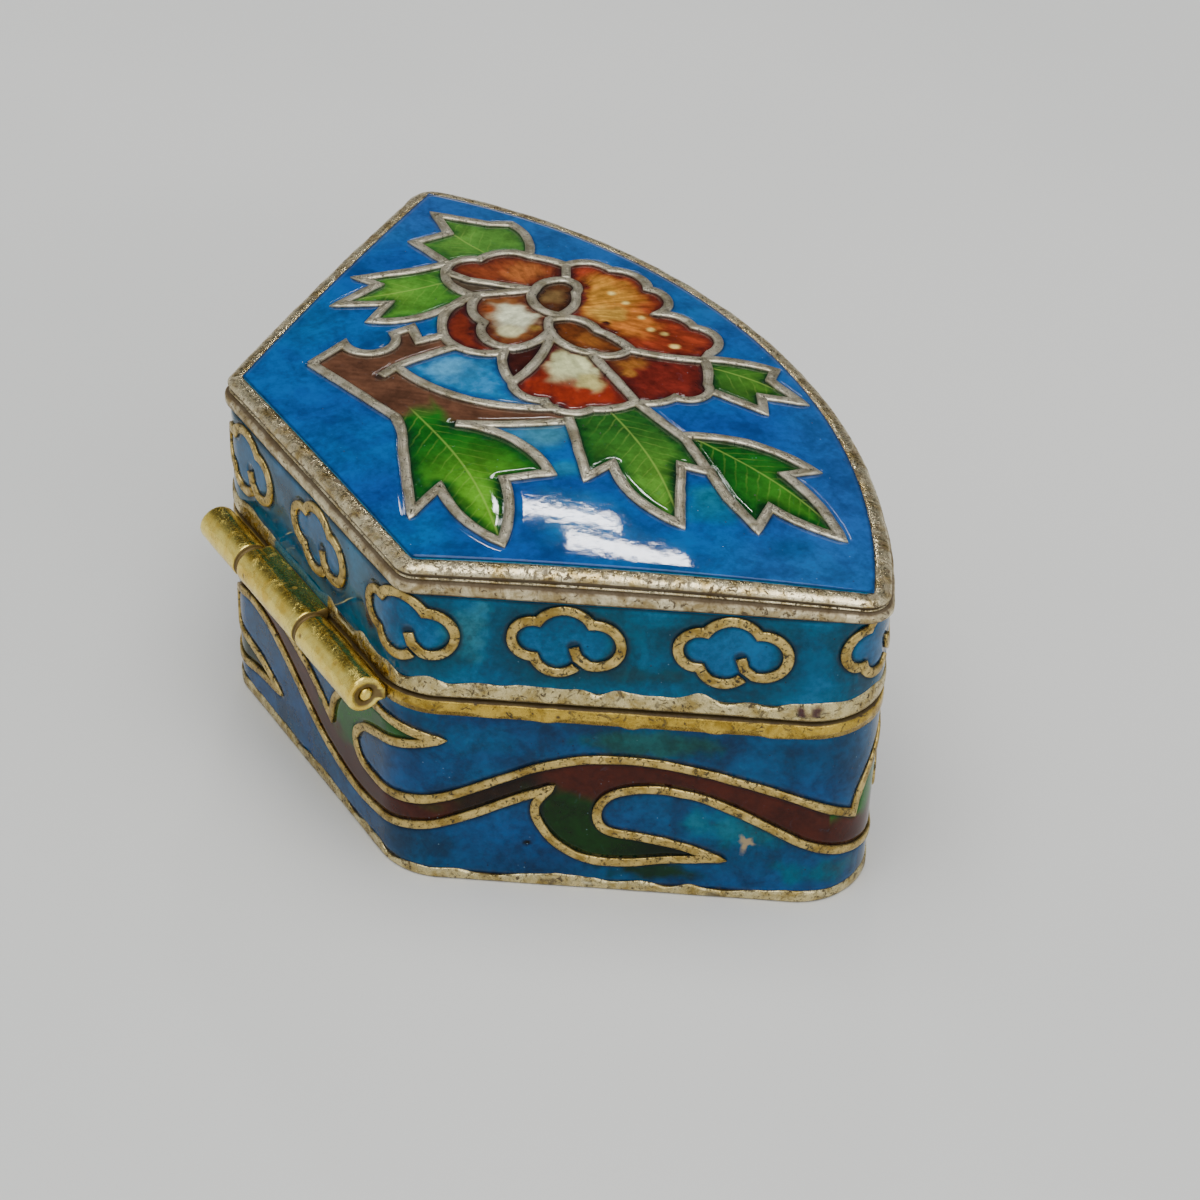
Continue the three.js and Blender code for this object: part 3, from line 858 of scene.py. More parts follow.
class Graph:
    """A material's nodes, added and linked in one call each."""

    def __init__(self, name: str, scale: float = 1000.0) -> None:
        """Starts a material with the position on the object, in millimetres unless scaled otherwise.

        Args:
            name: of the material.
            scale: units of the position in a metre.
        """
        self.material = bpy.data.materials.new(name)
        self.material.use_nodes = True
        self.tree = self.material.node_tree
        self.tree.nodes.clear()
        metres = self.add("ShaderNodeTexCoord").outputs["Object"]
        scaled = self.add("ShaderNodeVectorMath", {0: metres, 1: (scale,) * 3}, operation="MULTIPLY")
        self.position: Socket = scaled.outputs[0]

    def add(self, kind: str, inputs: dict | None = None, **settings: object) -> bpy.types.Node:
        """Adds a node.

        Args:
            kind: the node's type.
            inputs: a value or another node's output for each named or numbered input.
            **settings: the node's own properties.

        Returns:
            The node.
        """
        node = self.tree.nodes.new(kind)
        for key, value in settings.items():
            setattr(node, key, value)
        for key, value in (inputs or {}).items():
            if isinstance(value, Socket):
                self.tree.links.new(value, node.inputs[key])
            else:
                node.inputs[key].default_value = value
        return node

    def attribute(self, name: str, output: str = "Fac") -> Socket:
        """A value stored on the mesh."""
        return self.add("ShaderNodeAttribute", attribute_name=name).outputs[output]

    def noise(self, scale: float, detail: float = 4.0, rough: float = 0.55, warp: float = 0.0,
              at: Socket | None = None) -> Socket:
        """Cloudy noise.

        Args:
            scale: features in a unit of length.
            detail: how many finer layers it has.
            rough: how strong the finer layers are.
            warp: how far it is bent about.
            at: where it is read, the position unless told otherwise.

        Returns:
            The noise, about 0.3 to 0.7.
        """
        inputs = {"Vector": at or self.position, "Scale": scale, "Detail": detail, "Roughness": rough,
                  "Distortion": warp}
        return self.add("ShaderNodeTexNoise", inputs).outputs["Fac"]

    def cells(self, scale: float) -> Socket:
        """Distance to the nearest of randomly strewn points."""
        return self.add("ShaderNodeTexVoronoi", {"Vector": self.position, "Scale": scale}).outputs["Distance"]

    def maths(self, operation: str, a: object, b: object = 0.0) -> Socket:
        """Arithmetic on one or two values."""
        return self.add("ShaderNodeMath", {0: a, 1: b}, operation=operation).outputs[0]

    def plus(self, a: object, b: object) -> Socket:
        """Their sum."""
        return self.maths("ADD", a, b)

    def minus(self, a: object, b: object) -> Socket:
        """The first less the second."""
        return self.maths("SUBTRACT", a, b)

    def times(self, a: object, b: object) -> Socket:
        """Their product."""
        return self.maths("MULTIPLY", a, b)

    def most(self, a: object, b: object) -> Socket:
        """The greater of the two."""
        return self.maths("MAXIMUM", a, b)

    def span(self, value: object, low: float, high: float, to_low: float = 0.0,
             to_high: float = 1.0) -> Socket:
        """Stretches a value's range to another, smoothly and clamped."""
        ends = {"Value": value, "From Min": low, "From Max": high, "To Min": to_low, "To Max": to_high}
        return self.add("ShaderNodeMapRange", ends, interpolation_type="SMOOTHSTEP").outputs[0]

    def mix(self, share: object, a: object, b: object, mode: str = "MIX") -> Socket:
        """Mixes two colours."""
        return self.add("ShaderNodeMix", {0: share, 6: a, 7: b}, data_type="RGBA", blend_type=mode).outputs[2]

    def bump(self, height: Socket, millimetres: float, normal: Socket | None = None) -> Socket:
        """A normal bent by a height.

        Args:
            height: from 0 to 1.
            millimetres: how high 1 stands.
            normal: what is bent, if not the mesh's own.

        Returns:
            The bent normal.
        """
        inputs = {"Height": height, "Distance": millimetres * MM}
        if normal is not None:
            inputs["Normal"] = normal
        return self.add("ShaderNodeBump", inputs).outputs[0]

    def surface(self, inputs: dict) -> bpy.types.Material:
        """Ends the material in a principled surface.

        Args:
            inputs: its sockets' values or links.

        Returns:
            The finished material.
        """
        shader = self.add("ShaderNodeBsdfPrincipled", inputs)
        self.add("ShaderNodeOutputMaterial", {"Surface": shader.outputs[0]})
        return self.material


@dataclass(frozen=True)
class EnamelFinish:
    """Fired glass over copper: coloured in its cells, mottled, with pits and a glossy skin."""

    name: str
    mottle_dark: float = 0.62
    mottle_light: float = 1.35
    shine: float = 0.25
    coat: float = 0.15
    # Painted shade: outline is how dark, and wire_shade_width how wide in millimetres, the line of shade
    # painted beside every wire and strip.
    outline: float = 0.62
    wire_shade_width: float = 0.2
    pitted: float = 0.5
    orange_peel: float = 0.0014
    swell: float = 0.004
    haze: Colour = (70, 134, 160)
    vein: Colour = (150, 180, 78)
    # Colour of the painted shade beside the wires and strips.
    wire_shade: Colour = (6, 16, 22)
    pit: Colour = (14, 20, 20)
    bead: Colour = (150, 190, 205)
    copper: Colour = (150, 132, 100)

    def mottled(self, g: Graph) -> Socket:
        """The cells' colours with cloudy darker and paler parts.

        Args:
            g: the material's nodes.

        Returns:
            The colour.
        """
        wide = g.noise(0.42, 5.0, 0.62, 0.6)
        fine = g.noise(2.4, 5.0, 0.65)
        cloudy = g.plus(g.times(wide, 0.62), g.times(fine, 0.38))
        shade = g.span(cloudy, 0.33, 0.68, self.mottle_dark, self.mottle_light)
        colour = g.mix(1.0, g.attribute("tint", "Color"), shade, "MULTIPLY")
        pale = g.span(g.noise(1.1, 6.0, 0.7, 0.9), 0.6, 0.78, 0.0, 0.12)
        return g.mix(pale, colour, linear(self.haze))

    def threaded(self, g: Graph, colour: Socket) -> Socket:
        """Adds a petal's streaks and a leaf's veins.

        Args:
            g: the material's nodes.
            colour: what they are drawn on.

        Returns:
            The colour with both.
        """
        grain = g.attribute("grain", "Vector")
        threads = g.span(g.noise(1.0, 4.0, 0.6, at=grain), 0.36, 0.66, 0.66, 1.42)
        colour = g.mix(g.attribute("streaks"), colour, g.mix(1.0, colour, threads, "MULTIPLY"))

        along, side, _ = g.add("ShaderNodeSeparateXYZ", {0: grain}).outputs
        away = g.maths("ABSOLUTE", side)
        wobble = g.times(g.noise(1.3, 2.0), 0.5)
        rank = g.maths("FRACT", g.plus(g.minus(along, g.times(away, 1.15)), wobble))
        rib = g.span(g.maths("ABSOLUTE", g.minus(rank, 0.5)), 0.0, 0.13, 1.0, 0.0)
        rib = g.times(rib, g.span(away, 0.1, 2.4, 0.2, 0.02))
        rib = g.times(rib, g.span(g.noise(0.9, 3.0), 0.38, 0.6, 0.25, 1.0))
        midrib = g.span(g.plus(away, g.times(wobble, 0.12)), 0.04, 0.13, 0.4, 0.0)
        vein = g.times(g.most(rib, midrib), g.attribute("veins"))
        return g.mix(vein, colour, linear(self.vein))

    def material(self) -> bpy.types.Material:
        """Builds the material.

        Returns:
            The finished material.
        """
        g = Graph(self.name)
        edge = g.attribute("edge")
        colour = self.threaded(g, self.mottled(g))
        # Painted shade: a dark line in the enamel beside every wire and strip, where its meniscus dips.
        meniscus_shade = g.span(edge, 0.0, self.wire_shade_width, self.outline, 0.0)
        colour = g.mix(meniscus_shade, colour, linear(self.wire_shade))
        pits = g.span(g.cells(1.25), 0.02, 0.09, 1.0, 0.0)
        pits = g.times(pits, g.span(g.noise(0.8, 2.0), self.pitted, self.pitted + 0.1))
        colour = g.mix(g.times(pits, 0.75), colour, linear(self.pit))
        beads = g.span(g.cells(2.3), 0.04, 0.12, 1.0, 0.0)
        beads = g.times(beads, g.span(g.noise(0.6, 2.0), 0.55, 0.7))
        colour = g.mix(g.times(beads, 0.35), colour, linear(self.bead))
        chipped = g.span(g.plus(g.attribute("chip"), g.times(g.noise(3.4, 4.0), 0.55)), 0.62, 1.2)
        colour = g.mix(chipped, colour, linear(self.copper))

        normal = g.bump(g.noise(0.55, 2.0, 0.5), self.swell)
        normal = g.bump(g.noise(2.2, 3.0, 0.55), self.orange_peel, normal)
        normal = g.bump(g.minus(1.0, pits), 0.02, normal)
        normal = g.bump(g.span(edge, 0.0, 0.3), 0.04, normal)
        rough = g.span(g.noise(1.8, 4.0, 0.6), 0.4, 0.75, 0.02, 0.05)
        rough = g.plus(rough, g.times(chipped, 0.4))
        return g.surface({"Base Color": colour, "Roughness": rough, "IOR": 1.5, "Normal": normal,
                          "Specular IOR Level": self.shine, "Coat Weight": self.coat, "Coat Roughness": 0.03})


@dataclass(frozen=True)
class GiltFinish:
    """Gilt brass, worn and pitted, with dirt and painted shade in its hollows.

    A grimy one reads from the mesh its grime, which is dirt with painted shade, and the enamel that has run
    over it.
    """

    name: str
    bright: Colour
    dull: Colour
    dirt_and_shade: Colour
    pit_scale: float
    pit_share: float
    gloss: float
    dent: float
    grimy_and_shaded: bool = True
    blotched: float = 0.85

    def dirt_and_shade_share(self, g: Graph, patches: Socket) -> Socket:
        """How much dirt and painted shade each place takes: its pits and holes, and on a grimy one its
        hollows.

        Args:
            g: the material's nodes.
            patches: the cloudy wear of the gilt.

        Returns:
            A share from 0 to 1.
        """
        warped = g.noise(self.pit_scale, 5.0, 0.72, 1.1)
        pits = g.span(warped, 1.0 - self.pit_share, 1.07 - self.pit_share)
        holes = g.span(g.cells(self.pit_scale * 0.62), 0.05, 0.17, 1.0, 0.0)
        holes = g.times(holes, g.span(g.noise(0.7, 2.0), 0.42, 0.58))
        share = g.most(pits, holes)
        if self.grimy_and_shaded:
            blotches = g.span(g.noise(0.85, 6.0, 0.72, 1.4), 0.54, 0.66, 0.0, self.blotched)
            # Painted shade: the mesh's grime darkens hollows, undersides and joins with other parts as if in
            # shade, together with their dirt.
            hollows_and_shade = g.span(g.plus(g.attribute("grime_and_shade"), g.times(patches, 0.5)), 0.55, 0.95)
            share = g.most(g.most(share, blotches), hollows_and_shade)
        return share

    def material(self) -> bpy.types.Material:
        """Builds the material.

        Returns:
            The finished material.
        """
        g = Graph(self.name)
        patches = g.noise(0.9, 6.0, 0.65, 0.4)
        speckle = g.noise(7.0, 4.0, 0.7)
        dirt_and_shade = self.dirt_and_shade_share(g, patches)
        colour = g.mix(g.span(patches, 0.38, 0.66), linear(self.bright), linear(self.dull))
        colour = g.mix(g.span(speckle, 0.5, 0.75, 0.0, 0.45), colour, linear(self.dull))
        # Dirt with painted shade, in the dirt colour.
        colour = g.mix(g.times(dirt_and_shade, 0.9), colour, linear(self.dirt_and_shade))
        metal = g.span(dirt_and_shade, 0.0, 1.0, 1.0, 0.25)
        if self.grimy_and_shaded:
            painted = g.attribute("painted")
            colour = g.mix(painted, colour, g.attribute("paint", "Color"))
            metal = g.times(metal, g.minus(1.0, painted))
        rough = g.span(speckle, 0.3, 0.75, self.gloss, self.gloss + 0.22)
        rough = g.plus(rough, g.times(dirt_and_shade, 0.35))
        normal = g.bump(g.noise(1.6, 3.0, 0.6), self.dent)
        normal = g.bump(speckle, self.dent * 0.22, normal)
        normal = g.bump(g.minus(1.0, dirt_and_shade), 0.03, normal)
        return g.surface({"Base Color": colour, "Metallic": metal, "Roughness": rough, "Normal": normal})


@dataclass(frozen=True)
class LinerFinish:
    """Plain blue enamel on the inside and the underside, speckled and slightly uneven."""

    name: str = "counter_enamel"
    deep: Colour = (22, 98, 146)
    pale: Colour = (44, 138, 172)
    speck: Colour = (10, 34, 54)

    def material(self) -> bpy.types.Material:
        """Builds the material.

        Returns:
            The finished material.
        """
        g = Graph(self.name)
        colour = g.mix(g.span(g.noise(0.35, 6.0, 0.6, 0.5), 0.35, 0.68), linear(self.deep), linear(self.pale))
        specks = g.span(g.cells(1.1), 0.05, 0.15, 0.8, 0.0)
        specks = g.times(specks, g.span(g.noise(0.5, 2.0), 0.45, 0.6))
        colour = g.mix(specks, colour, linear(self.speck))
        normal = g.bump(g.noise(0.8, 4.0, 0.6), 0.12)
        rough = g.span(g.noise(2.0, 3.0), 0.35, 0.7, 0.14, 0.34)
        return g.surface({"Base Color": colour, "Roughness": rough, "Normal": normal,
                          "Coat Weight": 0.25, "Coat Roughness": 0.08})


@dataclass(frozen=True)
class FloorFinish:
    """A pale, plain table top."""

    name: str = "pale_floor"
    grey: Colour = (212, 212, 208)
    pale: Colour = (220, 219, 215)

    def material(self) -> bpy.types.Material:
        """Builds the material.

        Returns:
            The finished material.
        """
        g = Graph(self.name, 20.0)
        colour = g.mix(g.span(g.noise(0.5, 3.0), 0.3, 0.7), linear(self.grey), linear(self.pale))
        return g.surface({"Base Color": colour, "Roughness": 0.45})


TOP_STRIP = GiltFinish("gilt_moulding", (230, 216, 176), (176, 152, 98), (64, 44, 20), 2.4, 0.455, 0.2, 0.045)
LID_STRIP = GiltFinish("gilt_lid_rim", (212, 196, 144), (158, 136, 78), (54, 36, 14), 2.2, 0.45, 0.2, 0.045)
BASE_STRIP = GiltFinish("gilt_base_rim", (200, 168, 74), (146, 116, 40), (46, 30, 10), 1.6, 0.42, 0.2, 0.03)
TOP_WIRE = GiltFinish("gilt_picture_wire", (220, 212, 188), (162, 152, 124), (52, 42, 30),
                      4.2, 0.44, 0.3, 0.03, grimy_and_shaded=False)
WALL_WIRE = GiltFinish("gilt_wall_wire", (208, 182, 112), (148, 122, 60), (34, 26, 10),
                       3.6, 0.465, 0.28, 0.035, grimy_and_shaded=False)
HINGE_BRASS = GiltFinish("hinge_brass", (248, 226, 118), (220, 186, 76), (70, 44, 16),
                         1.2, 0.3, 0.13, 0.012, blotched=0.25)


# ---- enamel


@dataclass(frozen=True)
class Blot:
    """A round patch of another colour."""

    x: float
    y: float
    radius: float
    colour: Colour


@dataclass(frozen=True)
class CellPaint:
    """How one cell is painted, found by a point inside it."""

    inside: tuple[float, float]
    body: Colour
    rim: Colour
    rim_width: float = 0.8
    blots: tuple[Blot, ...] = ()
    streaks: float = 0.0
    heart: tuple[float, float] = (7.6, -8.6)

    def tint(self, x: Array, y: Array, edge: Array) -> Array:
        """Colours the cell: its body with blots, and a ragged rim.

        Args:
            x, y: its points.
            edge: distances to the nearest wire.

        Returns:
            A linear colour for each point.
        """
        ragged = edge + 0.5 * waver(x, y, 0.45, Seed.RIM_WIDE) + 0.3 * waver(x, y, 0.17, Seed.RIM_FINE)
        body = light(self.body)
        for blot in self.blots:
            loose = 0.9 * min(1.0, blot.radius / 1.5)
            gap = np.hypot(x - blot.x, y - blot.y) + loose * waver(x, y, 0.6, Seed.BLOT)
            body = blend(body, light(blot.colour), 1 - smooth(0.35 * blot.radius, blot.radius, gap))
        return blend(light(self.rim), body, smooth(0.0, self.rim_width, ragged))

    def veining(self, x: Array, y: Array) -> Array:
        """How strongly leaf veins show, which is not at all in a petal."""
        return np.zeros(len(x))

    def grain(self, x: Array, y: Array) -> Array:
        """Streaks that fan out from the flower's heart."""
        dx, dy = x - self.heart[0], y - self.heart[1]
        return np.column_stack([np.hypot(dx, dy) * 0.35, np.arctan2(dy, dx) * 9.0, 0 * x])


@dataclass(frozen=True)
class LeafPaint(CellPaint):
    """A leaf with a midrib from its base to its tip; ribs counts side ribs in a millimetre."""

    base: tuple[float, float] = (0.0, 0.0)
    tip: tuple[float, float] = (1.0, 0.0)
    bright: Colour = (116, 172, 48)
    glow: float = 0.8
    ribs: float = 1.25
    bend: float = 0.05

    @property
    def length(self) -> float:
        """Length of the midrib."""
        return math.dist(self.base, self.tip)

    def veining(self, x: Array, y: Array) -> Array:
        """Veins show all over the leaf."""
        return np.ones(len(x))

    def grain(self, x: Array, y: Array) -> Array:
        """Places on the leaf about its midrib.

        Args:
            x, y: the points.

        Returns:
            A row [side ribs passed, millimetres from the midrib, 0] for each point.
        """
        way = (np.array(self.tip) - np.array(self.base)) / self.length
        dx, dy = x - self.base[0], y - self.base[1]
        along, side = dx * way[0] + dy * way[1], dy * way[0] - dx * way[1]
        bow = self.bend * self.length * np.sin(along / self.length * math.pi)
        return np.column_stack([along * self.ribs, side - bow, 0 * x])

    def tint(self, x: Array, y: Array, edge: Array) -> Array:
        """Colours the leaf, bright along the midrib towards the tip.

        Args:
            x, y: its points.
            edge: distances to the nearest wire.

        Returns:
            A linear colour for each point.
        """
        passed, side, _ = self.grain(x, y).T
        ripe = smooth(0.2, 0.75, passed / self.ribs / self.length)
        near = np.exp(-((side / (0.2 * self.length)) ** 2))
        clear = smooth(0.1, 0.9, edge + 0.5 * waver(x, y, 0.5, Seed.LEAF_GLOW))
        return blend(super().tint(x, y, edge), light(self.bright), self.glow * ripe * near * clear)


@dataclass(frozen=True)
class BranchPaint(LeafPaint):
    """A leaf that grows from the wood of the branch, in one cell with it."""

    wood: Colour = (84, 54, 38)
    wood_from: float = 1.7
    fork: tuple[float, float] = (-0.75, 1.95)
    fork_slope: float = 0.505

    def wood_share(self, x: Array, y: Array) -> Array:
        """Tells the trunk and its arm beyond the fork from the leaf.

        Args:
            x, y: the points.

        Returns:
            1 for each point of wood and 0 for each of leaf.
        """
        ragged = 1.3 * waver(x, y, 0.8, Seed.WOOD_EDGE)
        trunk = smooth(-0.8, 0.9, x - self.wood_from + ragged)
        beyond = x - self.fork[0] - self.fork_slope * (y - self.fork[1])
        arm = smooth(0.0, 0.5, beyond) * (1 - smooth(-0.4, 0.6, y - self.fork[1] + 0.3 * ragged))
        return np.maximum(trunk, arm)

    def tint(self, x: Array, y: Array, edge: Array) -> Array:
        """Colours the leaf and the wood.

        Args:
            x, y: its points.
            edge: distances to the nearest wire.

        Returns:
            A linear colour for each point.
        """
        grain = 0.75 + 0.5 * drift(0.5 * (x + y), 2.2 * (x - y), 0.5, Seed.WOOD_GRAIN)
        wood = light(self.wood) * grain[:, None]
        return blend(super().tint(x, y, edge), wood, self.wood_share(x, y))

    def veining(self, x: Array, y: Array) -> Array:
        """No veins in the wood."""
        return 1 - self.wood_share(x, y)


# Small pale spots along the back of the great petal.
SPOTS = tuple(Blot(x, y, 0.34, (226, 196, 110)) for x, y in
              ((0.7, -13.1), (2.1, -13.3), (2.9, -12.8), (4.3, -13.1), (6.2, -13.2), (7.5, -13.0)))

PICTURE_CELLS: tuple[CellPaint, ...] = (
    LeafPaint((17.0, -9.0), (70, 116, 42), (40, 86, 34), 0.7, base=(14.8, -8.9), tip=(20.5, -8.4),
              bright=(96, 140, 52), glow=0.7),
    LeafPaint((13.0, -2.5), (66, 122, 36), (34, 82, 30), 0.7, base=(13.0, -5.6), tip=(14.3, 1.7),
              bright=(112, 162, 50)),
    BranchPaint((-5.0, 4.0), (20, 86, 18), (8, 60, 18), 1.0, base=(1.2, 3.4), tip=(-10.9, 5.1),
                bright=(96, 158, 34)),
    LeafPaint((-8.0, -5.5), (34, 88, 28), (10, 58, 18), 0.9, base=(-2.6, -6.1), tip=(-14.1, -4.0),
              bright=(90, 142, 44)),
    LeafPaint((-12.0, -10.0), (18, 82, 20), (6, 50, 14), 0.9, base=(-8.2, -8.9), tip=(-18.9, -11.1),
              bright=(56, 116, 26), glow=0.8),
    LeafPaint((-4.5, -14.8), (48, 92, 28), (16, 60, 18), 0.7, base=(-2.0, -13.6), tip=(-7.1, -16.4),
              glow=0.3),
    CellPaint((13.0, -9.5), (120, 54, 28), (76, 28, 20), 0.9, (Blot(12.0, -9.9, 1.8, (150, 84, 40)),), 0.7),
    CellPaint((11.5, -6.3), (66, 54, 40), (40, 28, 22), 0.5, (), 0.3),
    CellPaint((7.0, -13.2), (122, 44, 22), (80, 24, 18), 0.9,
              (Blot(7.4, -12.4, 3.2, (176, 120, 42)), Blot(4.4, -12.2, 2.6, (160, 92, 34)),
               Blot(5.4, -11.6, 1.4, (186, 138, 56)), Blot(4.6, -10.9, 0.35, (40, 20, 12)), *SPOTS), 1.0),
    CellPaint((-1.5, -10.8), (98, 28, 20), (60, 18, 16), 0.9,
              (Blot(0.6, -9.5, 1.8, (138, 84, 34)), Blot(-0.7, -9.2, 0.6, (160, 104, 40))), 0.7),
    CellPaint((0.0, -5.0), (122, 36, 18), (78, 22, 18), 0.7,
              (Blot(1.4, -7.0, 2.6, (196, 198, 146)), Blot(3.6, -6.6, 1.4, (186, 188, 136)),
               Blot(-0.6, -6.6, 1.1, (170, 160, 100))), 0.5),
    CellPaint((3.5, -4.9), (60, 22, 16), (40, 14, 14), 0.5),
    CellPaint((7.6, -6.6), (118, 70, 34), (84, 38, 22), 0.7,
              (Blot(7.6, -6.5, 2.1, (204, 206, 172)), Blot(6.4, -5.5, 0.9, (190, 186, 140)),
               Blot(9.0, -5.6, 0.7, (128, 62, 28)), Blot(6.0, -6.9, 0.6, (134, 104, 46))), 0.3),
    CellPaint((7.5, -3.0), (100, 34, 18), (58, 18, 16), 0.6, (), 0.3),
    CellPaint((8.6, -9.9), (78, 44, 22), (48, 24, 14), 0.6, (Blot(8.7, -9.7, 1.1, (104, 80, 46)),)),
    CellPaint((4.2, -8.8), (96, 48, 18), (58, 28, 12), 0.6, (Blot(3.4, -9.2, 1.2, (120, 70, 28)),), 0.5),
    CellPaint((3.5, -0.5), (40, 116, 164), (12, 70, 122), 1.0, (Blot(4.6, -0.4, 1.8, (70, 142, 182)),)),
)


def widened(region: Array) -> Array:
    """Widens a region of a grid by one cell all round.

    Args:
        region: which grid cells it covers.

    Returns:
        Which grid cells it covers now.
    """
    wider = region.copy()
    wider[1:] |= region[:-1]
    wider[:-1] |= region[1:]
    wider[:, 1:] |= region[:, :-1]
    wider[:, :-1] |= region[:, 1:]
    return wider


def meniscus(edge: Array) -> Array:
    """How far the enamel sinks beside a wire or a strip."""
    return 0.03 * np.exp(-((edge / 0.22) ** 2))


@dataclass
class EnamelPicture:
    """The lid's top: the enamel between the wires and the wires themselves.

    cell_from is how far from a wire's middle a cell begins, and under_wire is how many steps of
    the grid its colour goes on under the wire.
    """

    site: Site
    columns: int = 340
    rows: int = 216
    under_wire: int = 3
    cell_from: float = 0.47
    swell: float = 0.003
    drawing: PictureDrawing = field(default_factory=PictureDrawing)
    style: WireStyle = field(default_factory=lambda: WireStyle(0.56))
    finish: EnamelFinish = EnamelFinish("picture_enamel")
    sea: Colour = (0, 64, 134)
    lagoon: Colour = (10, 96, 140)
    deep: Colour = (0, 50, 112)
    # Painted reflection of the sky, greying the ground's outer edge.
    sky_reflection: Colour = (40, 82, 138)
    pools: tuple[Blot, ...] = (
        Blot(-13.4, -6.4, 2.4, (18, 100, 112)), Blot(9.6, -3.4, 1.6, (14, 96, 96)),
        Blot(-3.6, -1.8, 2.4, (58, 120, 136)), Blot(-7.4, -1.2, 1.8, (30, 106, 136)),
        Blot(-11.0, 1.0, 3.4, (24, 98, 148)), Blot(-9.0, -9.9, 1.0, (16, 84, 88)),
        Blot(-18.6, -8.0, 2.0, (4, 58, 100)))

    def grid(self) -> tuple[Array, Array]:
        """Points spread over the fan, row by row from the narrow end.

        Returns:
            Their first and second coordinates.
        """
        fan = self.site.fan
        across, down = np.meshgrid(np.linspace(-1, 1, self.columns), np.linspace(0, 1, self.rows))
        half = fan.half_narrow + (fan.half_wide - fan.half_narrow) * down
        wide = np.abs(across) * fan.half_wide
        bow = np.sqrt(fan.front_radius**2 - wide**2) - (fan.front_radius - fan.sagitta)
        return (across * half).ravel(), (fan.depth / 2 - down * (fan.depth + bow)).ravel()

    def ground(self, x: Array, y: Array) -> Array:
        """Colours the blue ground, greyer towards its outer edge as painted reflection of the sky.

        Args:
            x, y: the points.

        Returns:
            A linear colour for each point.
        """
        colour = blend(light(self.sea), light(self.lagoon), 0.55 * drift(x, y, 4.2, Seed.SEA))
        colour = blend(colour, light(self.deep), 0.35 * smooth(0.45, 0.9, drift(x, y, 1.1, Seed.SEA_QUICK)))
        # Painted reflection: greyer towards the outer edge, most round the curved front, as a mirror of the
        # sky would be.
        away = np.hypot(x, y - 4.0) + 1.5 * waver(x, y, 2.0, Seed.SEA_FRONT)
        colour = blend(colour, light(self.sky_reflection), 0.55 * smooth(17.0, 24.0, away))
        for pool in self.pools:
            reach = np.hypot(x - pool.x, y - pool.y) + 1.2 * waver(x, y, 0.9, Seed.POOL)
            share = 0.75 * (1 - smooth(0.15 * pool.radius, pool.radius, reach))
            colour = blend(colour, light(pool.colour), share)
        return colour

    def cell_at(self, inside: tuple[float, float], x: Array, y: Array, open_cells: Array) -> Array:
        """Finds one cell of the picture.

        Args:
            inside: a point of the cell.
            x, y: the points of the grid.
            open_cells: which grid points lie between the wires.

        Returns:
            Indices of the cell's grid points, on to under its wires.
        """
        nearest = int(np.argmin(np.hypot(x - inside[0], y - inside[1])))
        region, spread = np.zeros_like(open_cells), np.zeros_like(open_cells)
        spread[divmod(nearest, self.columns)] = True
        while (spread != region).any():
            region, spread = spread, widened(spread) & open_cells
        grown = region
        for _ in range(self.under_wire):
            grown = widened(grown) & ~open_cells | region
        return np.flatnonzero(grown)

    def build_enamel(self) -> None:
        """Lays the coloured enamel in its cells."""
        x, y = self.grid()
        gap = distance_to(coarser(self.drawing.runs(), 3), x, y, 2.5)
        open_cells = (gap > self.style.width * self.cell_from).reshape(self.rows, self.columns)
        edge = np.maximum(gap - self.style.width / 2, 0)
        colour = self.ground(x, y)
        grain = np.column_stack([x, y, 0 * x])
        veins, streaks = np.zeros(x.size), np.zeros(x.size)
        for paint in PICTURE_CELLS:
            cell = self.cell_at(paint.inside, x, y, open_cells)
            if len(cell) > x.size // 4:
                LOG.warning("the cell at %s leaks into the ground", paint.inside)
                continue
            colour[cell] = paint.tint(x[cell], y[cell], edge[cell])
            grain[cell] = paint.grain(x[cell], y[cell])
            veins[cell] = paint.veining(x[cell], y[cell])
            streaks[cell] = paint.streaks
        border = self.site.fan.outline(0.0, 0.5, 0.5).closed
        edge = np.minimum(edge, distance_to([WireRun([border])], x, y, 1.0))
        raised = self.swell * waver(x, y, 2.4, Seed.PICTURE_SWELL) - meniscus(edge)
        points = self.site.on_top(x, y, self.site.skin + raised)
        faces = turned_over(quads(self.rows, self.columns, False, False))
        Piece("lid_picture_enamel", Body.LID, Slot.ENAMEL).build(
            self.site, points, faces, self.finish.material(),
            edge=edge, veins=veins, streaks=streaks, chip=0 * x, grain=grain, tint=opaque(colour))

    def build(self) -> None:
        """Makes the enamel and the wires."""
        self.build_enamel()
        points, faces = self.style.bend_all(self.drawing.runs(), self.site.on_top, Seed.PICTURE_WIRES)
        piece = Piece("lid_picture_wires", Body.LID, Slot.WIRE, ("lid_peony_wires",))
        piece.build(self.site, points, faces, TOP_WIRE.material())


@dataclass(frozen=True)
class Stain:
    """A long patch of another colour on a wall."""

    s: float
    z: float
    half_length: float
    half_height: float
    colour: Colour
    strength: float

    def over(self, colour: Array, s: Array, z: Array) -> Array:
        """Lays the patch over a wall's colours.

        Args:
            colour: the linear colour of each point.
            s, z: the points, along the wall and up.

        Returns:
            The new colours.
        """
        reach = np.hypot((s - self.s) / self.half_length, (z - self.z) / self.half_height)
        reach = reach + 0.7 * waver(s, z, 0.9, Seed.STAIN) + 0.3 * waver(s, z, 0.3, Seed.STAIN_FINE)
        return blend(colour, light(self.colour), self.strength * (1 - smooth(0.35, 1.1, reach)))


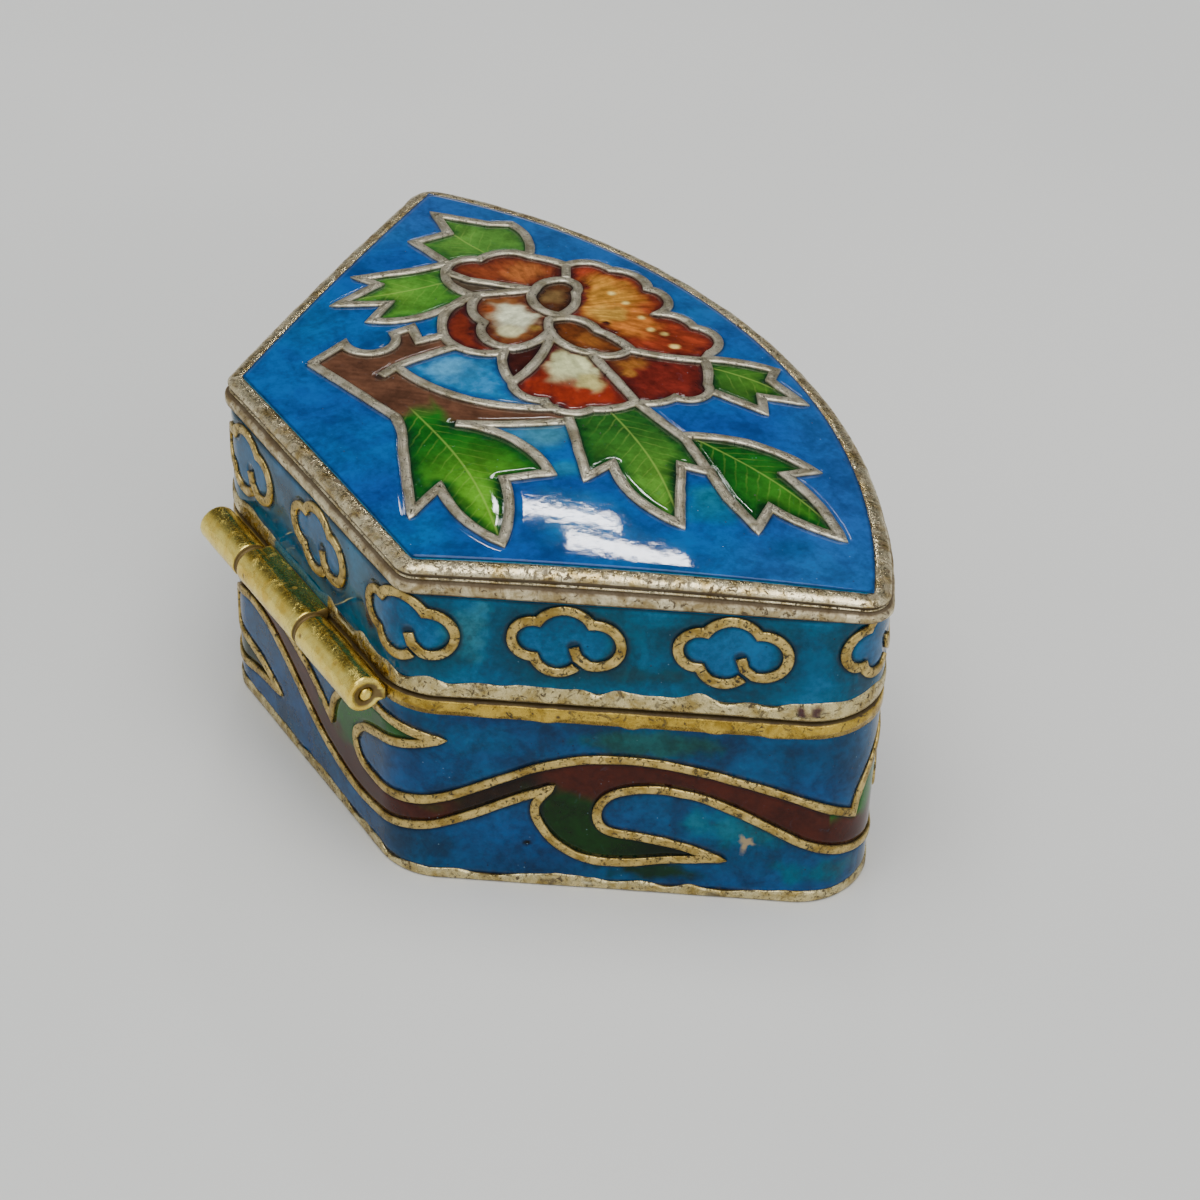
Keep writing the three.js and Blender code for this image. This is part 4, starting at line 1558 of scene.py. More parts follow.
@dataclass(frozen=True)
class Chip:
    """A star-shaped chip in a wall's enamel."""

    s: float
    z: float
    size: float

    def depth(self, s: Array, z: Array) -> Array:
        """How deep the chip is at each place.

        Args:
            s, z: the points, along the wall and up.

        Returns:
            1 at its middle down to 0 outside.
        """
        way = np.arctan2(z - self.z, s - self.s)
        star = 1 + 0.4 * np.sin(5 * way + self.s) + 0.3 * np.sin(3 * way + 1)
        reach = np.hypot(s - self.s, z - self.z) / star + 0.3 * waver(s, z, 0.25, Seed.CHIP)
        return 1 - smooth(0.0, self.size, reach)


@dataclass
class EnamelWall:
    """A band of enamel round the box with wires in it; finish and stains are the band's own."""

    site: Site
    name: str
    body: Body
    low: float
    high: float
    style: WireStyle
    finish: EnamelFinish
    stains: tuple[Stain, ...]
    step: float = 0.15
    swell: float = 0.02
    chip_depth: float = 0.06

    @property
    def shape(self) -> tuple[int, int]:
        """Rows and columns of the band's points."""
        return round((self.high - self.low) / self.step) + 1, round(self.site.wall_length / self.step)

    def grid(self) -> tuple[Array, Array]:
        """The band's points, row by row from the bottom.

        Returns:
            Their distances along the wall and their heights.
        """
        rows, columns = self.shape
        along, up = np.meshgrid(np.arange(columns) * self.site.wall_length / columns,
                                np.linspace(self.low, self.high, rows))
        return along.ravel(), up.ravel()

    def stained(self, colour: Array, s: Array, z: Array) -> Array:
        """Lays the band's stains over its colours.

        Args:
            colour: the linear colour of each point.
            s, z: the points, along the wall and up.

        Returns:
            The new colours.
        """
        for stain in self.stains:
            colour = stain.over(colour, s, z)
        return colour

    def lay(self, s: Array, z: Array, runs: Sequence[WireRun], colour: Array, chip: Array) -> None:
        """Makes the band of enamel.

        Args:
            s, z: the points, along the wall and up.
            runs: the wires in it.
            colour: linear colour of each point.
            chip: how far each point is into a chip, from 0 to 1.
        """
        length, thin = self.site.wall_length, coarser(runs, 3)
        gap = np.min([distance_to(thin, s + turn, z, 2.5) for turn in (-length, 0.0, length)], axis=0)
        to_strip = np.minimum(z - self.low, self.high - z) + 0.04
        edge = np.minimum(np.maximum(gap - self.style.width / 2, 0), to_strip)
        raised = self.swell * waver(s, z, 1.5, Seed.WALL_SWELL) - meniscus(edge) - self.chip_depth * chip
        points = self.site.on_wall(s, z, self.site.skin + raised)
        grain = np.column_stack([s, z, 0 * s])
        Piece(self.name, self.body, Slot.ENAMEL).build(
            self.site, points, quads(*self.shape, True, False), self.finish.material(),
            edge=edge, veins=0 * s, streaks=0 * s, chip=chip, grain=grain, tint=opaque(colour))

    def set_wires(self, name: str, runs: Sequence[WireRun], nodes: tuple[str, ...], seed: Seed) -> None:
        """Makes the band's wires.

        Args:
            name: of the piece.
            runs: the drawn wires.
            nodes: the solids that they stand for.
            seed: picks their unevenness.
        """
        points, faces = self.style.bend_all(runs, self.site.on_wall, seed)
        Piece(name, self.body, Slot.WIRE, nodes).build(self.site, points, faces, WALL_WIRE.material())


@dataclass
class CloudWall(EnamelWall):
    """The lid's wall with its ring of clouds."""

    style: WireStyle = field(default_factory=lambda: WireStyle(0.55))
    finish: EnamelFinish = EnamelFinish("lid_wall_enamel", 0.55, 1.4, 0.14, 0.05, 0.8, 0.28, 0.4)
    stains: tuple[Stain, ...] = (
        Stain(13.6, 17.2, 1.5, 2.2, (40, 112, 128), 0.75), Stain(23.0, 15.0, 2.6, 0.9, (6, 50, 52), 0.7),
        Stain(7.2, 16.4, 0.5, 1.4, (52, 14, 12), 0.8), Stain(31.5, 17.0, 1.6, 1.8, (8, 64, 92), 0.6),
        Stain(49.0, 17.0, 2.0, 1.8, (26, 100, 116), 0.6), Stain(101.0, 16.6, 2.4, 1.8, (24, 96, 116), 0.6))
    drawing: CloudDrawing = field(default_factory=CloudDrawing)
    teal: Colour = (12, 84, 108)
    azure: Colour = (8, 82, 130)
    shadow: Colour = (4, 34, 34)

    def ground(self, s: Array, z: Array) -> Array:
        """Colours the band teal, darker round each cloud and azure inside it.

        Args:
            s, z: the points, along the wall and up.

        Returns:
            A linear colour for each point.
        """
        pitch = self.site.wall_length / self.drawing.count
        local = np.mod(s - self.drawing.first + pitch / 2, pitch) - pitch / 2
        away = np.hypot(local / 1.25, (z - self.drawing.middle) / 0.95)
        colour = blend(light(self.teal), light(self.azure), 0.6 * drift(s, z, 3.1, Seed.CLOUD_GROUND))
        ragged = away + 1.2 * waver(s, z, 0.9, Seed.CLOUD_HALO)
        halo = smooth(1.6, 2.2, away) * (1 - smooth(2.4, 4.4, ragged))
        colour = blend(colour, light(self.shadow), 0.55 * halo)
        colour = blend(colour, light(self.azure), 0.5 * (1 - smooth(1.5, 2.0, away)))
        return self.stained(colour, s, z)

    def build(self) -> None:
        """Makes the enamel and the cloud wires."""
        s, z = self.grid()
        runs = self.drawing.runs(self.site.wall_length)
        self.lay(s, z, runs, self.ground(s, z), 0 * s)
        nodes = tuple(f"lid_cloud_wire_{k + 1:02d}" for k in range(self.drawing.count))
        self.set_wires("lid_cloud_wires", runs, nodes, Seed.CLOUD_WIRES)


@dataclass
class VineWall(EnamelWall):
    """The base's wall with its winding vine."""

    style: WireStyle = field(default_factory=lambda: WireStyle(0.5))
    finish: EnamelFinish = EnamelFinish("base_wall_enamel", 0.52, 1.4, 0.14, 0.05, 0.8, 0.28, 0.42)
    stains: tuple[Stain, ...] = (
        Stain(23.5, 10.4, 5.0, 1.1, (16, 74, 62), 0.8), Stain(24.2, 1.6, 3.6, 0.75, (4, 40, 8), 0.95),
        Stain(10.5, 2.2, 3.0, 1.3, (6, 44, 70), 0.7), Stain(28.5, 5.0, 3.6, 1.3, (20, 92, 104), 0.7),
        Stain(33.0, 2.0, 3.2, 1.0, (12, 80, 92), 0.7), Stain(14.0, 10.0, 4.0, 1.2, (6, 70, 104), 0.6),
        Stain(60.0, 9.4, 6.0, 1.2, (12, 72, 74), 0.6), Stain(88.0, 3.0, 5.0, 1.2, (10, 66, 78), 0.6),
        Stain(106.0, 9.0, 5.0, 1.4, (10, 72, 84), 0.6), Stain(17.0, 3.0, 0.28, 0.24, (2, 8, 10), 1.0))
    chips: tuple[Chip, ...] = (Chip(28.9, 4.1, 0.95), Chip(75.0, 8.2, 0.5), Chip(56.0, 3.0, 0.45))
    azure: Colour = (2, 60, 110)
    teal: Colour = (8, 64, 88)
    deep: Colour = (1, 32, 64)
    maroon: Colour = (60, 18, 6)
    leaf: Colour = (8, 46, 4)
    fresh: Colour = (24, 84, 18)
    black: Colour = (3, 15, 4)

    def ground(self, s: Array, z: Array) -> Array:
        """Colours the blue ground behind the vine.

        Args:
            s, z: the points, along the wall and up.

        Returns:
            A linear colour for each point.
        """
        colour = blend(light(self.azure), light(self.teal), 0.7 * drift(s, z, 3.6, Seed.VINE_GROUND))
        deep = 0.5 * smooth(0.5, 0.95, drift(s, z, 1.2, Seed.VINE_QUICK))
        return self.stained(blend(colour, light(self.deep), deep), s, z)

    def vine(self, s: Array, z: Array) -> Array:
        """Colours the vine: a maroon stem, dark past each root, and green leaves.

        Args:
            s, z: the points, along the wall and up.

        Returns:
            A linear colour for each point.
        """
        length = self.site.wall_length
        upper, lower = UPPER_VINE.past_root(s, length), LOWER_VINE.past_root(s, length)
        ragged = 1.1 * waver(s, z, 0.8, Seed.VINE_EDGE)
        upper_leaf = smooth(4.9, 6.0, z + ragged) * (1 - smooth(10.0, 11.5, upper + ragged))
        lower_leaf = (1 - smooth(6.0, 7.1, z + ragged)) * (1 - smooth(9.6, 10.6, lower + ragged))
        shaded = smooth(10.0, 11.6, upper + ragged) * (1 - smooth(14.6, 16.2, upper + ragged))
        colour = blend(light(self.maroon), light(self.black), 0.7 * shaded)
        fresh = light(self.fresh) * (1 - 0.6 * smooth(5.0, 9.5, upper))[:, None]
        colour = blend(colour, fresh, upper_leaf)
        leaf = blend(0.8 * light(self.leaf), light(self.black), smooth(3.0, 7.0, lower))
        return blend(colour, leaf, lower_leaf)

    def band_between(self, runs: Sequence[WireRun], s: Array, z: Array) -> Array:
        """Tells the vine from the ground by counting the wires crossed upwards.

        Args:
            runs: the vine's two wires.
            s, z: the points, along the wall and up.

        Returns:
            1 for each point between the wires and 0 for each other.
        """
        length = self.site.wall_length
        crossed = np.zeros(len(s), int)
        for run in runs:
            for a, b in zip(*run.segments()):
                for turn in (-length, 0.0, length):
                    low, high = min(a[0], b[0]) + turn, max(a[0], b[0]) + turn
                    if high < 0 or low > length or high == low:
                        continue
                    near = np.flatnonzero((s >= low) & (s < high))
                    t = (s[near] - turn - a[0]) / (b[0] - a[0])
                    crossed[near] += a[1] + t * (b[1] - a[1]) > z[near]
        return (crossed % 2).astype(float)

    def build(self) -> None:
        """Makes the enamel and the vine's wires."""
        s, z = self.grid()
        runs = [UPPER_VINE.run(self.site.wall_length), LOWER_VINE.run(self.site.wall_length)]
        colour = blend(self.ground(s, z), self.vine(s, z), self.band_between(runs, s, z))
        chip = np.max([chip.depth(s, z) for chip in self.chips], axis=0)
        self.lay(s, z, runs, colour, chip)
        nodes = ("base_vine_upper_wire", "base_vine_lower_wire")
        self.set_wires("base_vine_wires", runs, nodes, Seed.VINE_WIRES)


# ---- gilt strips


@dataclass(frozen=True)
class Patch:
    """Enamel that has run over a strip, between two places along the wall and two heights."""

    start: float
    end: float
    low: float
    high: float
    colour: Colour


@dataclass
class Strip:
    """A gilt strip bent round the box from a rounded profile.

    A profile point is [offset from the fan, height, grime]; grime is dirt together with painted shade,
    darkest in grooves, under the edges and where the strip meets the enamel. The height is in
    millimetres, or for a strip that follows the crown the share of the way up to it from the foot of
    the moulding.
    """

    site: Site
    name: str
    body: Body
    node: str
    finish: GiltFinish
    profile: tuple[tuple[float, float, float], ...]
    seed: int
    wobble: float = 0.02
    ragged_top: float = 0.0
    ragged_bottom: float = 0.0
    patches: tuple[Patch, ...] = ()
    follows_crown: bool = False
    step: float = 0.16
    sharp_radius: float = 0.53
    edge_band: float = 0.3

    def heights(self, height: float, offset: float, ring: Outline, uneven: Array) -> Array:
        """Heights of one ring of the strip, with its ragged edges.

        Args:
            height: the profile point's height.
            offset: the profile point's offset.
            ring: the ring's outline.
            uneven: the strip's short waver along it, from -1 to 1.

        Returns:
            One height for each point of the ring.
        """
        levels, run = self.site.levels, ring.run[:-1]
        ups = [point[1] for point in self.profile]
        if self.follows_crown:
            dome = self.site.crown.height(*ring.points.T)
            return levels.moulding + height * (dome - levels.moulding) + (0.02 * uneven if offset > 0 else 0)
        z = np.full(len(run), float(height))
        if offset <= 0:
            return z
        if self.ragged_top and height > max(ups) - self.edge_band:
            return z + self.ragged_top * (waver(run, 0 * run, 1.3, self.seed + 2) + 0.3 * uneven)
        if self.ragged_bottom and height < min(ups) + self.edge_band:
            return z + self.ragged_bottom * drift(run, 0 * run, 1.5, self.seed + 3)
        return z

    def build(self) -> None:
        """Makes the strip."""
        fan = self.site.fan
        rings, painted, paint = [], [], []
        for k, (offset, height, _) in enumerate(self.profile):
            radius = offset + (self.sharp_radius if self.follows_crown else fan.wall_radius - fan.wall)
            ring = fan.outline(offset, max(radius, 0.05), self.step)
            run = ring.run[:-1]
            uneven = 2 * waver(run, 0 * run + 0.35 * k, 0.9, self.seed)
            slow = 2 * waver(run, 0 * run + 0.2 * k, 4.5, self.seed + 1)
            push = 0 * run if offset < 0.2 else self.wobble * (uneven + slow)
            z = self.heights(height, offset, ring, uneven)
            rings.append(np.column_stack([ring.points + push[:, None] * ring.normals, z]))
            share, colour = self.paint_at(run * self.site.wall_length / ring.length, z)
            painted.append(share if offset > 0 else 0 * share)
            paint.append(colour)
        faces = quads(len(rings[0]), len(rings), True, True)
        if not self.follows_crown:
            faces = turned_over(faces)
        # The profile's grime: dirt with painted shade.
        grime_and_shade = np.tile([point[2] for point in self.profile], len(rings[0]))
        Piece(self.name, self.body, Slot.STRIP, (self.node,)).build(
            self.site, np.stack(rings, 1).reshape(-1, 3), faces, self.finish.material(),
            grime_and_shade=grime_and_shade, painted=np.stack(painted, 1), paint=opaque(np.stack(paint, 1).reshape(-1, 3)))

    def paint_at(self, s: Array, z: Array) -> tuple[Array, Array]:
        """Enamel that has run over the strip.

        Args:
            s, z: the points, along the wall and up.

        Returns:
            How far each point is covered, and the colour there.
        """
        share, colour = np.zeros(len(s)), np.zeros((len(s), 3))
        ragged = 0.5 * waver(s, z, 0.45, self.seed + 4)
        length = self.site.wall_length
        for patch in self.patches:
            middle, half = (patch.start + patch.end) / 2, (patch.end - patch.start) / 2
            along = half - np.abs(np.mod(s - middle + length / 2, length) - length / 2)
            inside = np.minimum(along, np.minimum(z - patch.low, patch.high - z)) + ragged
            here = smooth(-0.05, 0.12, inside)
            colour[here > 0] = light(patch.colour)
            share = np.maximum(share, here)
        return share, colour


def strips(site: Site) -> list[Strip]:
    """The four strips of the box.

    Args:
        site: where the drawing lies.

    Returns:
        The strips from the top down.
    """
    seam = site.levels.seam
    # The third value of each profile point darkens it with grime and painted shade: in the grooves, on the
    # moulding's lower band, under the edges and where a strip meets the enamel.
    moulding = (
        (-0.05, 0.9, 0.9), (-0.02, 0.985, 0.6), (0.1, 1.02, 0), (0.35, 1.03, 0), (0.6, 1.0, 0),
        (0.8, 0.93, 0.1), (0.92, 0.84, 0.45), (0.9, 0.77, 0.9), (0.74, 0.72, 1), (0.66, 0.68, 1),
        (0.72, 0.63, 0.7), (0.84, 0.61, 0), (0.84, 0.56, 0.1), (0.72, 0.53, 0.9), (0.8, 0.49, 1),
        (1.0, 0.45, 0.6), (1.1, 0.37, 0.46), (1.12, 0.26, 0.42), (1.12, 0.12, 0.46), (1.06, 0.03, 0.7),
        (0.9, 0.0, 0.9), (-0.05, 0.0, 1))
    lid_rim = (
        (-0.35, 13.88, 0), (-0.35, seam + 0.02, 0), (0.9, seam + 0.02, 1), (1.06, seam + 0.1, 1),
        (1.18, seam + 0.22, 0.55), (1.22, seam + 0.4, 0), (1.24, 13.2, 0), (1.22, 13.6, 0),
        (1.17, 13.8, 0.15), (1.08, 13.92, 0.7), (0.95, 13.93, 1))
    base_rim = (
        (-0.35, 11.38, 0), (0.95, 11.3, 1), (1.1, 11.36, 0.6), (1.18, 11.46, 0.1), (1.22, 11.62, 0),
        (1.24, 12.0, 0), (1.22, 12.3, 0), (1.17, 12.44, 0.5), (1.06, 12.54, 1), (0.9, 12.58, 1),
        (-0.35, 12.58, 0))
    foot = (
        (-0.12, 0.66, 0), (-0.12, 0.0, 0), (1.04, 0.0, 0.6), (1.15, 0.05, 0.3), (1.21, 0.16, 0.1),
        (1.22, 0.4, 0), (1.19, 0.58, 0), (1.1, 0.66, 0.5), (0.95, 0.67, 1))
    rim_patches = (Patch(31.0, 32.5, 13.1, 13.75, (60, 14, 10)), Patch(-4.2, 2.5, 12.9, 14.2, (10, 78, 92)))
    foot_patches = (Patch(19.5, 20.6, 0.25, 0.55, (200, 190, 150)),)
    return [
        Strip(site, "lid_moulding_gilt", Body.LID, "lid_top_moulding", TOP_STRIP, moulding, 71, 0.022,
              follows_crown=True),
        Strip(site, "lid_rim_gilt", Body.LID, "lid_mouth_rim", LID_STRIP, lid_rim, 73, 0.022,
              ragged_top=0.5, patches=rim_patches),
        Strip(site, "base_rim_gilt", Body.BASE, "base_mouth_rim", BASE_STRIP, base_rim, 75, 0.012,
              ragged_bottom=0.45),
        Strip(site, "base_foot_gilt", Body.BASE, "base_foot_rim", LID_STRIP, foot, 77, 0.02,
              ragged_top=0.42, patches=foot_patches),
    ]


# ---- shells


@dataclass
class Shell:
    """The copper shells with their plain enamel inside and below."""

    site: Site
    step: float = 0.35
    inside: float = -0.35
    foot_inside: float = -0.13
    innermost: float = -4.0
    roof_from: float = 15.5
    round_in: float = 1.2
    roof_radius: float = 2.65
    least_radius: float = 0.4

    def wall(self, offset: float, height: float) -> Array:
        """A level ring at an offset from the fan.

        Args:
            offset: how far outside the fan.
            height: from the table.

        Returns:
            A row [x, y, z] for each point.
        """
        fan = self.site.fan
        ring = fan.outline(offset, max(fan.wall_radius - fan.wall + offset, self.least_radius), self.step)
        return np.column_stack([ring.points, np.full(len(ring.points), height)])

    def on_crown(self, offset: float, drop: float, radius: float) -> Array:
        """A ring that follows the dome.

        Args:
            offset: how far outside the fan.
            drop: depth below the dome.
            radius: of the ring's corners.

        Returns:
            A row [x, y, z] for each point.
        """
        x, y = self.site.fan.outline(offset, radius, self.step).points.T
        return self.site.on_top(x, y, -drop)

    def base(self) -> None:
        """Makes the lower box: a recessed underside, the wall, and a rounded floor inside."""
        lv, outside = self.site.levels, self.site.fan.wall
        recess, over_foot, bend = lv.recess, lv.foot + 0.02, self.round_in
        rings = [self.wall(-3.0, recess + 0.02), self.wall(self.foot_inside, recess),
                 self.wall(self.foot_inside, over_foot),
                 self.wall(outside, over_foot), self.wall(outside, lv.base_rim),
                 self.wall(self.inside, lv.base_rim)]
        rings += [self.wall(self.inside - bend * (1 - math.cos(a)), lv.floor + bend * (1 - math.sin(a)))
                  for a in np.linspace(0, math.pi / 2, 6)]
        rings.append(self.wall(self.innermost, lv.floor - 0.05))
        points, faces = tube(rings, np.array([0, -4.9, recess + 0.02]), np.array([0, -4.9, lv.floor - 0.06]))
        Piece("base_shell_enamel", Body.BASE, Slot.ENAMEL, ("base_shell",)).build(
            self.site, points, faces, LinerFinish().material())

    def lid(self) -> None:
        """Makes the lid: a rounded roof inside, the wall, and the domed top."""
        lv, outside, bend = self.site.levels, self.site.fan.wall, self.round_in
        rings = [self.on_crown(self.innermost, lv.roof, 0.8)]
        for a in np.linspace(math.pi / 2, 0, 6):
            inward = bend * (1 - math.sin(a))
            rings.append(self.on_crown(self.inside - inward, lv.roof + bend * (1 - math.cos(a)),
                                       self.roof_radius - 0.9 * inward))
        rings += [self.wall(self.inside, self.roof_from), self.wall(self.inside, lv.lid_rim),
                  self.wall(outside, lv.lid_rim), self.wall(outside, lv.moulding),
                  self.on_crown(-0.02, 0.0, 0.5), self.on_crown(self.innermost, 0.0, 0.5)]
        height = self.site.crown.height(0.0, -4.0)
        points, faces = tube(rings, np.array([0, -4.0, height - lv.roof]), np.array([0, -4.0, height]))
        Piece("lid_shell_enamel", Body.LID, Slot.ENAMEL, ("lid_shell",)).build(
            self.site, points, faces, LinerFinish().material())

    def build(self) -> None:
        """Makes both shells."""
        self.base()
        self.lid()


# ---- hinge


class Leaf(Enum):
    """Which mouth rim a knuckle's leaf is soldered to, as low and high ends from the axis."""

    BASE = (-0.85, 0.12)
    LID = (0.4, 1.0)


@dataclass
class Knuckle:
    """A rolled hinge knuckle with its leaf; outer_end is -1 or 1 where one end is the hinge's own."""

    site: Site
    name: str
    node: str
    body: Body
    leaf: Leaf
    seed: int
    outer_end: int
    barrel: float = 1.1
    bore: float = 0.46
    reach: float = 1.24
    round_over: float = 0.16
    wear: float = 0.012

    def profile(self, grow: float) -> Array:
        """Outline of the knuckle about its axis, softened where the leaf leaves the barrel.

        Args:
            grow: how far the outline is grown.

        Returns:
            A row [y, z] for each angle.
        """
        low, high = self.leaf.value
        angles = np.linspace(-math.pi, math.pi, 96, endpoint=False)
        ways = np.column_stack([np.cos(angles), np.sin(angles)])
        radius = np.full(len(ways), self.barrel)
        for k, (way_y, way_z) in enumerate(ways):
            if way_y >= -1e-6:
                continue
            at_wall = self.reach / -way_y
            height = at_wall * way_z
            if self.leaf is Leaf.LID and height > low:
                radius[k] = max(self.barrel, min(at_wall, high / way_z))
            elif self.leaf is Leaf.BASE and low <= height <= high:
                radius[k] = at_wall
        soft = np.mean([np.roll(radius, k) for k in (-1, 0, 1)], axis=0)
        return ways * (soft + grow)[:, None]

    def stations(self, start: float, end: float) -> list[tuple[float, float | None]]:
        """Where the knuckle's rings stand.

        Args:
            start: its lower end along X.
            end: its upper end.

        Returns:
            A place and a growth of the outline for each ring, or None for a ring of the bore.
        """
        edge = [(self.round_over * (1 - math.cos(a)), -self.round_over * (1 - math.sin(a)))
                for a in np.linspace(0.12, math.pi / 2, 4)]
        return [(start + 0.5, None), (start + 0.03, None), *((start + x, grow) for x, grow in edge),
                *((x, 0.0) for x in np.linspace(start + 0.4, end - 0.4, 14)),
                *((end - x, grow) for x, grow in reversed(edge)), (end - 0.03, None), (end - 0.5, None)]

    def build(self, axis: Vector) -> None:
        """Makes the knuckle where its solid lies.

        Args:
            axis: a point of the hinge's axis, in metres.
        """
        low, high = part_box(self.node)
        start, end = low.x / MM, high.x / MM
        axis_y, axis_z = axis.y / MM - self.site.shift, axis.z / MM
        body = self.profile(0.0)
        hole = body / np.hypot(*body.T)[:, None] * self.bore
        turns = np.arange(len(body)) * 0.12
        rings, grime_and_shade = [], []
        for x, grow in self.stations(start, end):
            at = np.full(len(body), x)
            # Painted shade: the bore is dark all through, and a knuckle's ends are dark where they face the
            # slits between knuckles, only faintly at the hinge's own outer end.
            if grow is None:
                shape, worn, ends = hole, 1.0, 1.0
            else:
                shape, worn = self.profile(grow), 1 + self.wear * waver(at, turns, 1.2, self.seed)
                side = -1 if x < (start + end) / 2 else 1
                slit_shade = 0.12 if side == self.outer_end else 1.0
                ends = slit_shade * min(1.0, 2.2 * max(0.0, -grow) / self.round_over)
            rings.append(np.column_stack([at, axis_y + shape[:, 0] * worn, axis_z + shape[:, 1]]))
            # Painted shade also darkens the leaf where it reaches back to the wall.
            grime_and_shade.append(np.maximum(ends, 0.9 * np.clip((-shape[:, 0] - 1.0) / 0.2, 0, 1)))
        faces = quads(len(rings), len(body), True, True)
        Piece(self.name, self.body, Slot.HINGE, (self.node,)).build(
            self.site, np.vstack(rings), faces, HINGE_BRASS.material(),
            grime_and_shade=np.concatenate(grime_and_shade), painted=np.zeros(len(rings) * len(body)))


@dataclass
class Hinge:
    """The three knuckles and the pin behind the narrow end."""

    site: Site
    joint: dict
    shaft: float = 0.38
    collar: float = 1.02
    play: float = 0.04
    sides: int = 28
    hammered: tuple = ((0.0, 0.12), (0.015, 0.24), (0.05, 0.32), (0.12, 0.375))

    def pin(self, axis: Vector) -> None:
        """Makes the pin with its hammered ends, and collars that close the slits between knuckles.

        Args:
            axis: a point of the hinge's axis, in metres.
        """
        low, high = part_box("hinge_pin")
        start, end = low.x / MM, high.x / MM
        head = [*self.hammered, (0.5, self.shaft)]
        stations = [(start + x, radius) for x, radius in head]
        for before, after in (("left", "lid"), ("lid", "right")):
            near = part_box(f"hinge_knuckle_{before}")[1].x / MM + self.play
            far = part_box(f"hinge_knuckle_{after}")[0].x / MM - self.play
            stations += [(near, self.shaft), (near, self.collar), (far, self.collar), (far, self.shaft)]
        stations += [(end - x, radius) for x, radius in reversed(head)]
        angles = np.linspace(0, 2 * math.pi, self.sides, endpoint=False)
        middle = np.array([0.0, axis.y / MM - self.site.shift, axis.z / MM])
        round_way = np.column_stack([0 * angles, np.cos(angles), np.sin(angles)])
        rings = [middle + [x, 0, 0] + radius * round_way for x, radius in stations]
        points, faces = tube(rings, middle + [start, 0, 0], middle + [end, 0, 0])
        # Painted shade: the collars are dark as the shade in the slits between knuckles; the rest of the pin
        # is barely touched.
        grime_and_shade = np.where(np.hypot(*(points - middle)[:, 1:].T) > 0.5, 1.0, 0.1)
        Piece("hinge_pin_brass", Body.BASE, Slot.HINGE, ("hinge_pin",)).build(
            self.site, points, faces, HINGE_BRASS.material(),
            grime_and_shade=grime_and_shade, painted=np.zeros(len(points)))

    def build(self) -> None:
        """Makes the whole hinge."""
        axis = Vector(self.joint["pos_m"])
        knuckles = (("left", "left", Body.BASE, Leaf.BASE, 81, -1),
                    ("middle", "lid", Body.LID, Leaf.LID, 83, 0),
                    ("right", "right", Body.BASE, Leaf.BASE, 85, 1))
        for name, node, *rest in knuckles:
            Knuckle(self.site, f"hinge_{name}_brass", f"hinge_knuckle_{node}", *rest).build(axis)
        self.pin(axis)


# ---- studio


def towards(azimuth: float, elevation: float) -> Vector:
    """Direction at an azimuth and an elevation in degrees."""
    a, e = math.radians(azimuth), math.radians(elevation)
    return Vector((math.cos(e) * math.cos(a), math.cos(e) * math.sin(a), math.sin(e)))


@dataclass(frozen=True)
class Lamp:
    """A rectangular lamp: width and height in metres, radiance of its face, colour."""

    name: str
    size: tuple[float, float]
    radiance: float
    tint: Colour = (255, 255, 255)

    def hang(self, place: Vector, aim: Vector) -> None:
        """Hangs the lamp.

        Args:
            place: where it hangs.
            aim: what it points at.
        """
        data = bpy.data.lights.new(self.name, "AREA")
        data.shape = "RECTANGLE"
        data.size, data.size_y = self.size
        data.energy = self.radiance * math.pi * self.size[0] * self.size[1]
        data.color = light(self.tint).tolist()
        lamp = add_object(self.name, data)
        lamp.location = place
        lamp.rotation_euler = (aim - place).to_track_quat("-Z", "Y").to_euler()


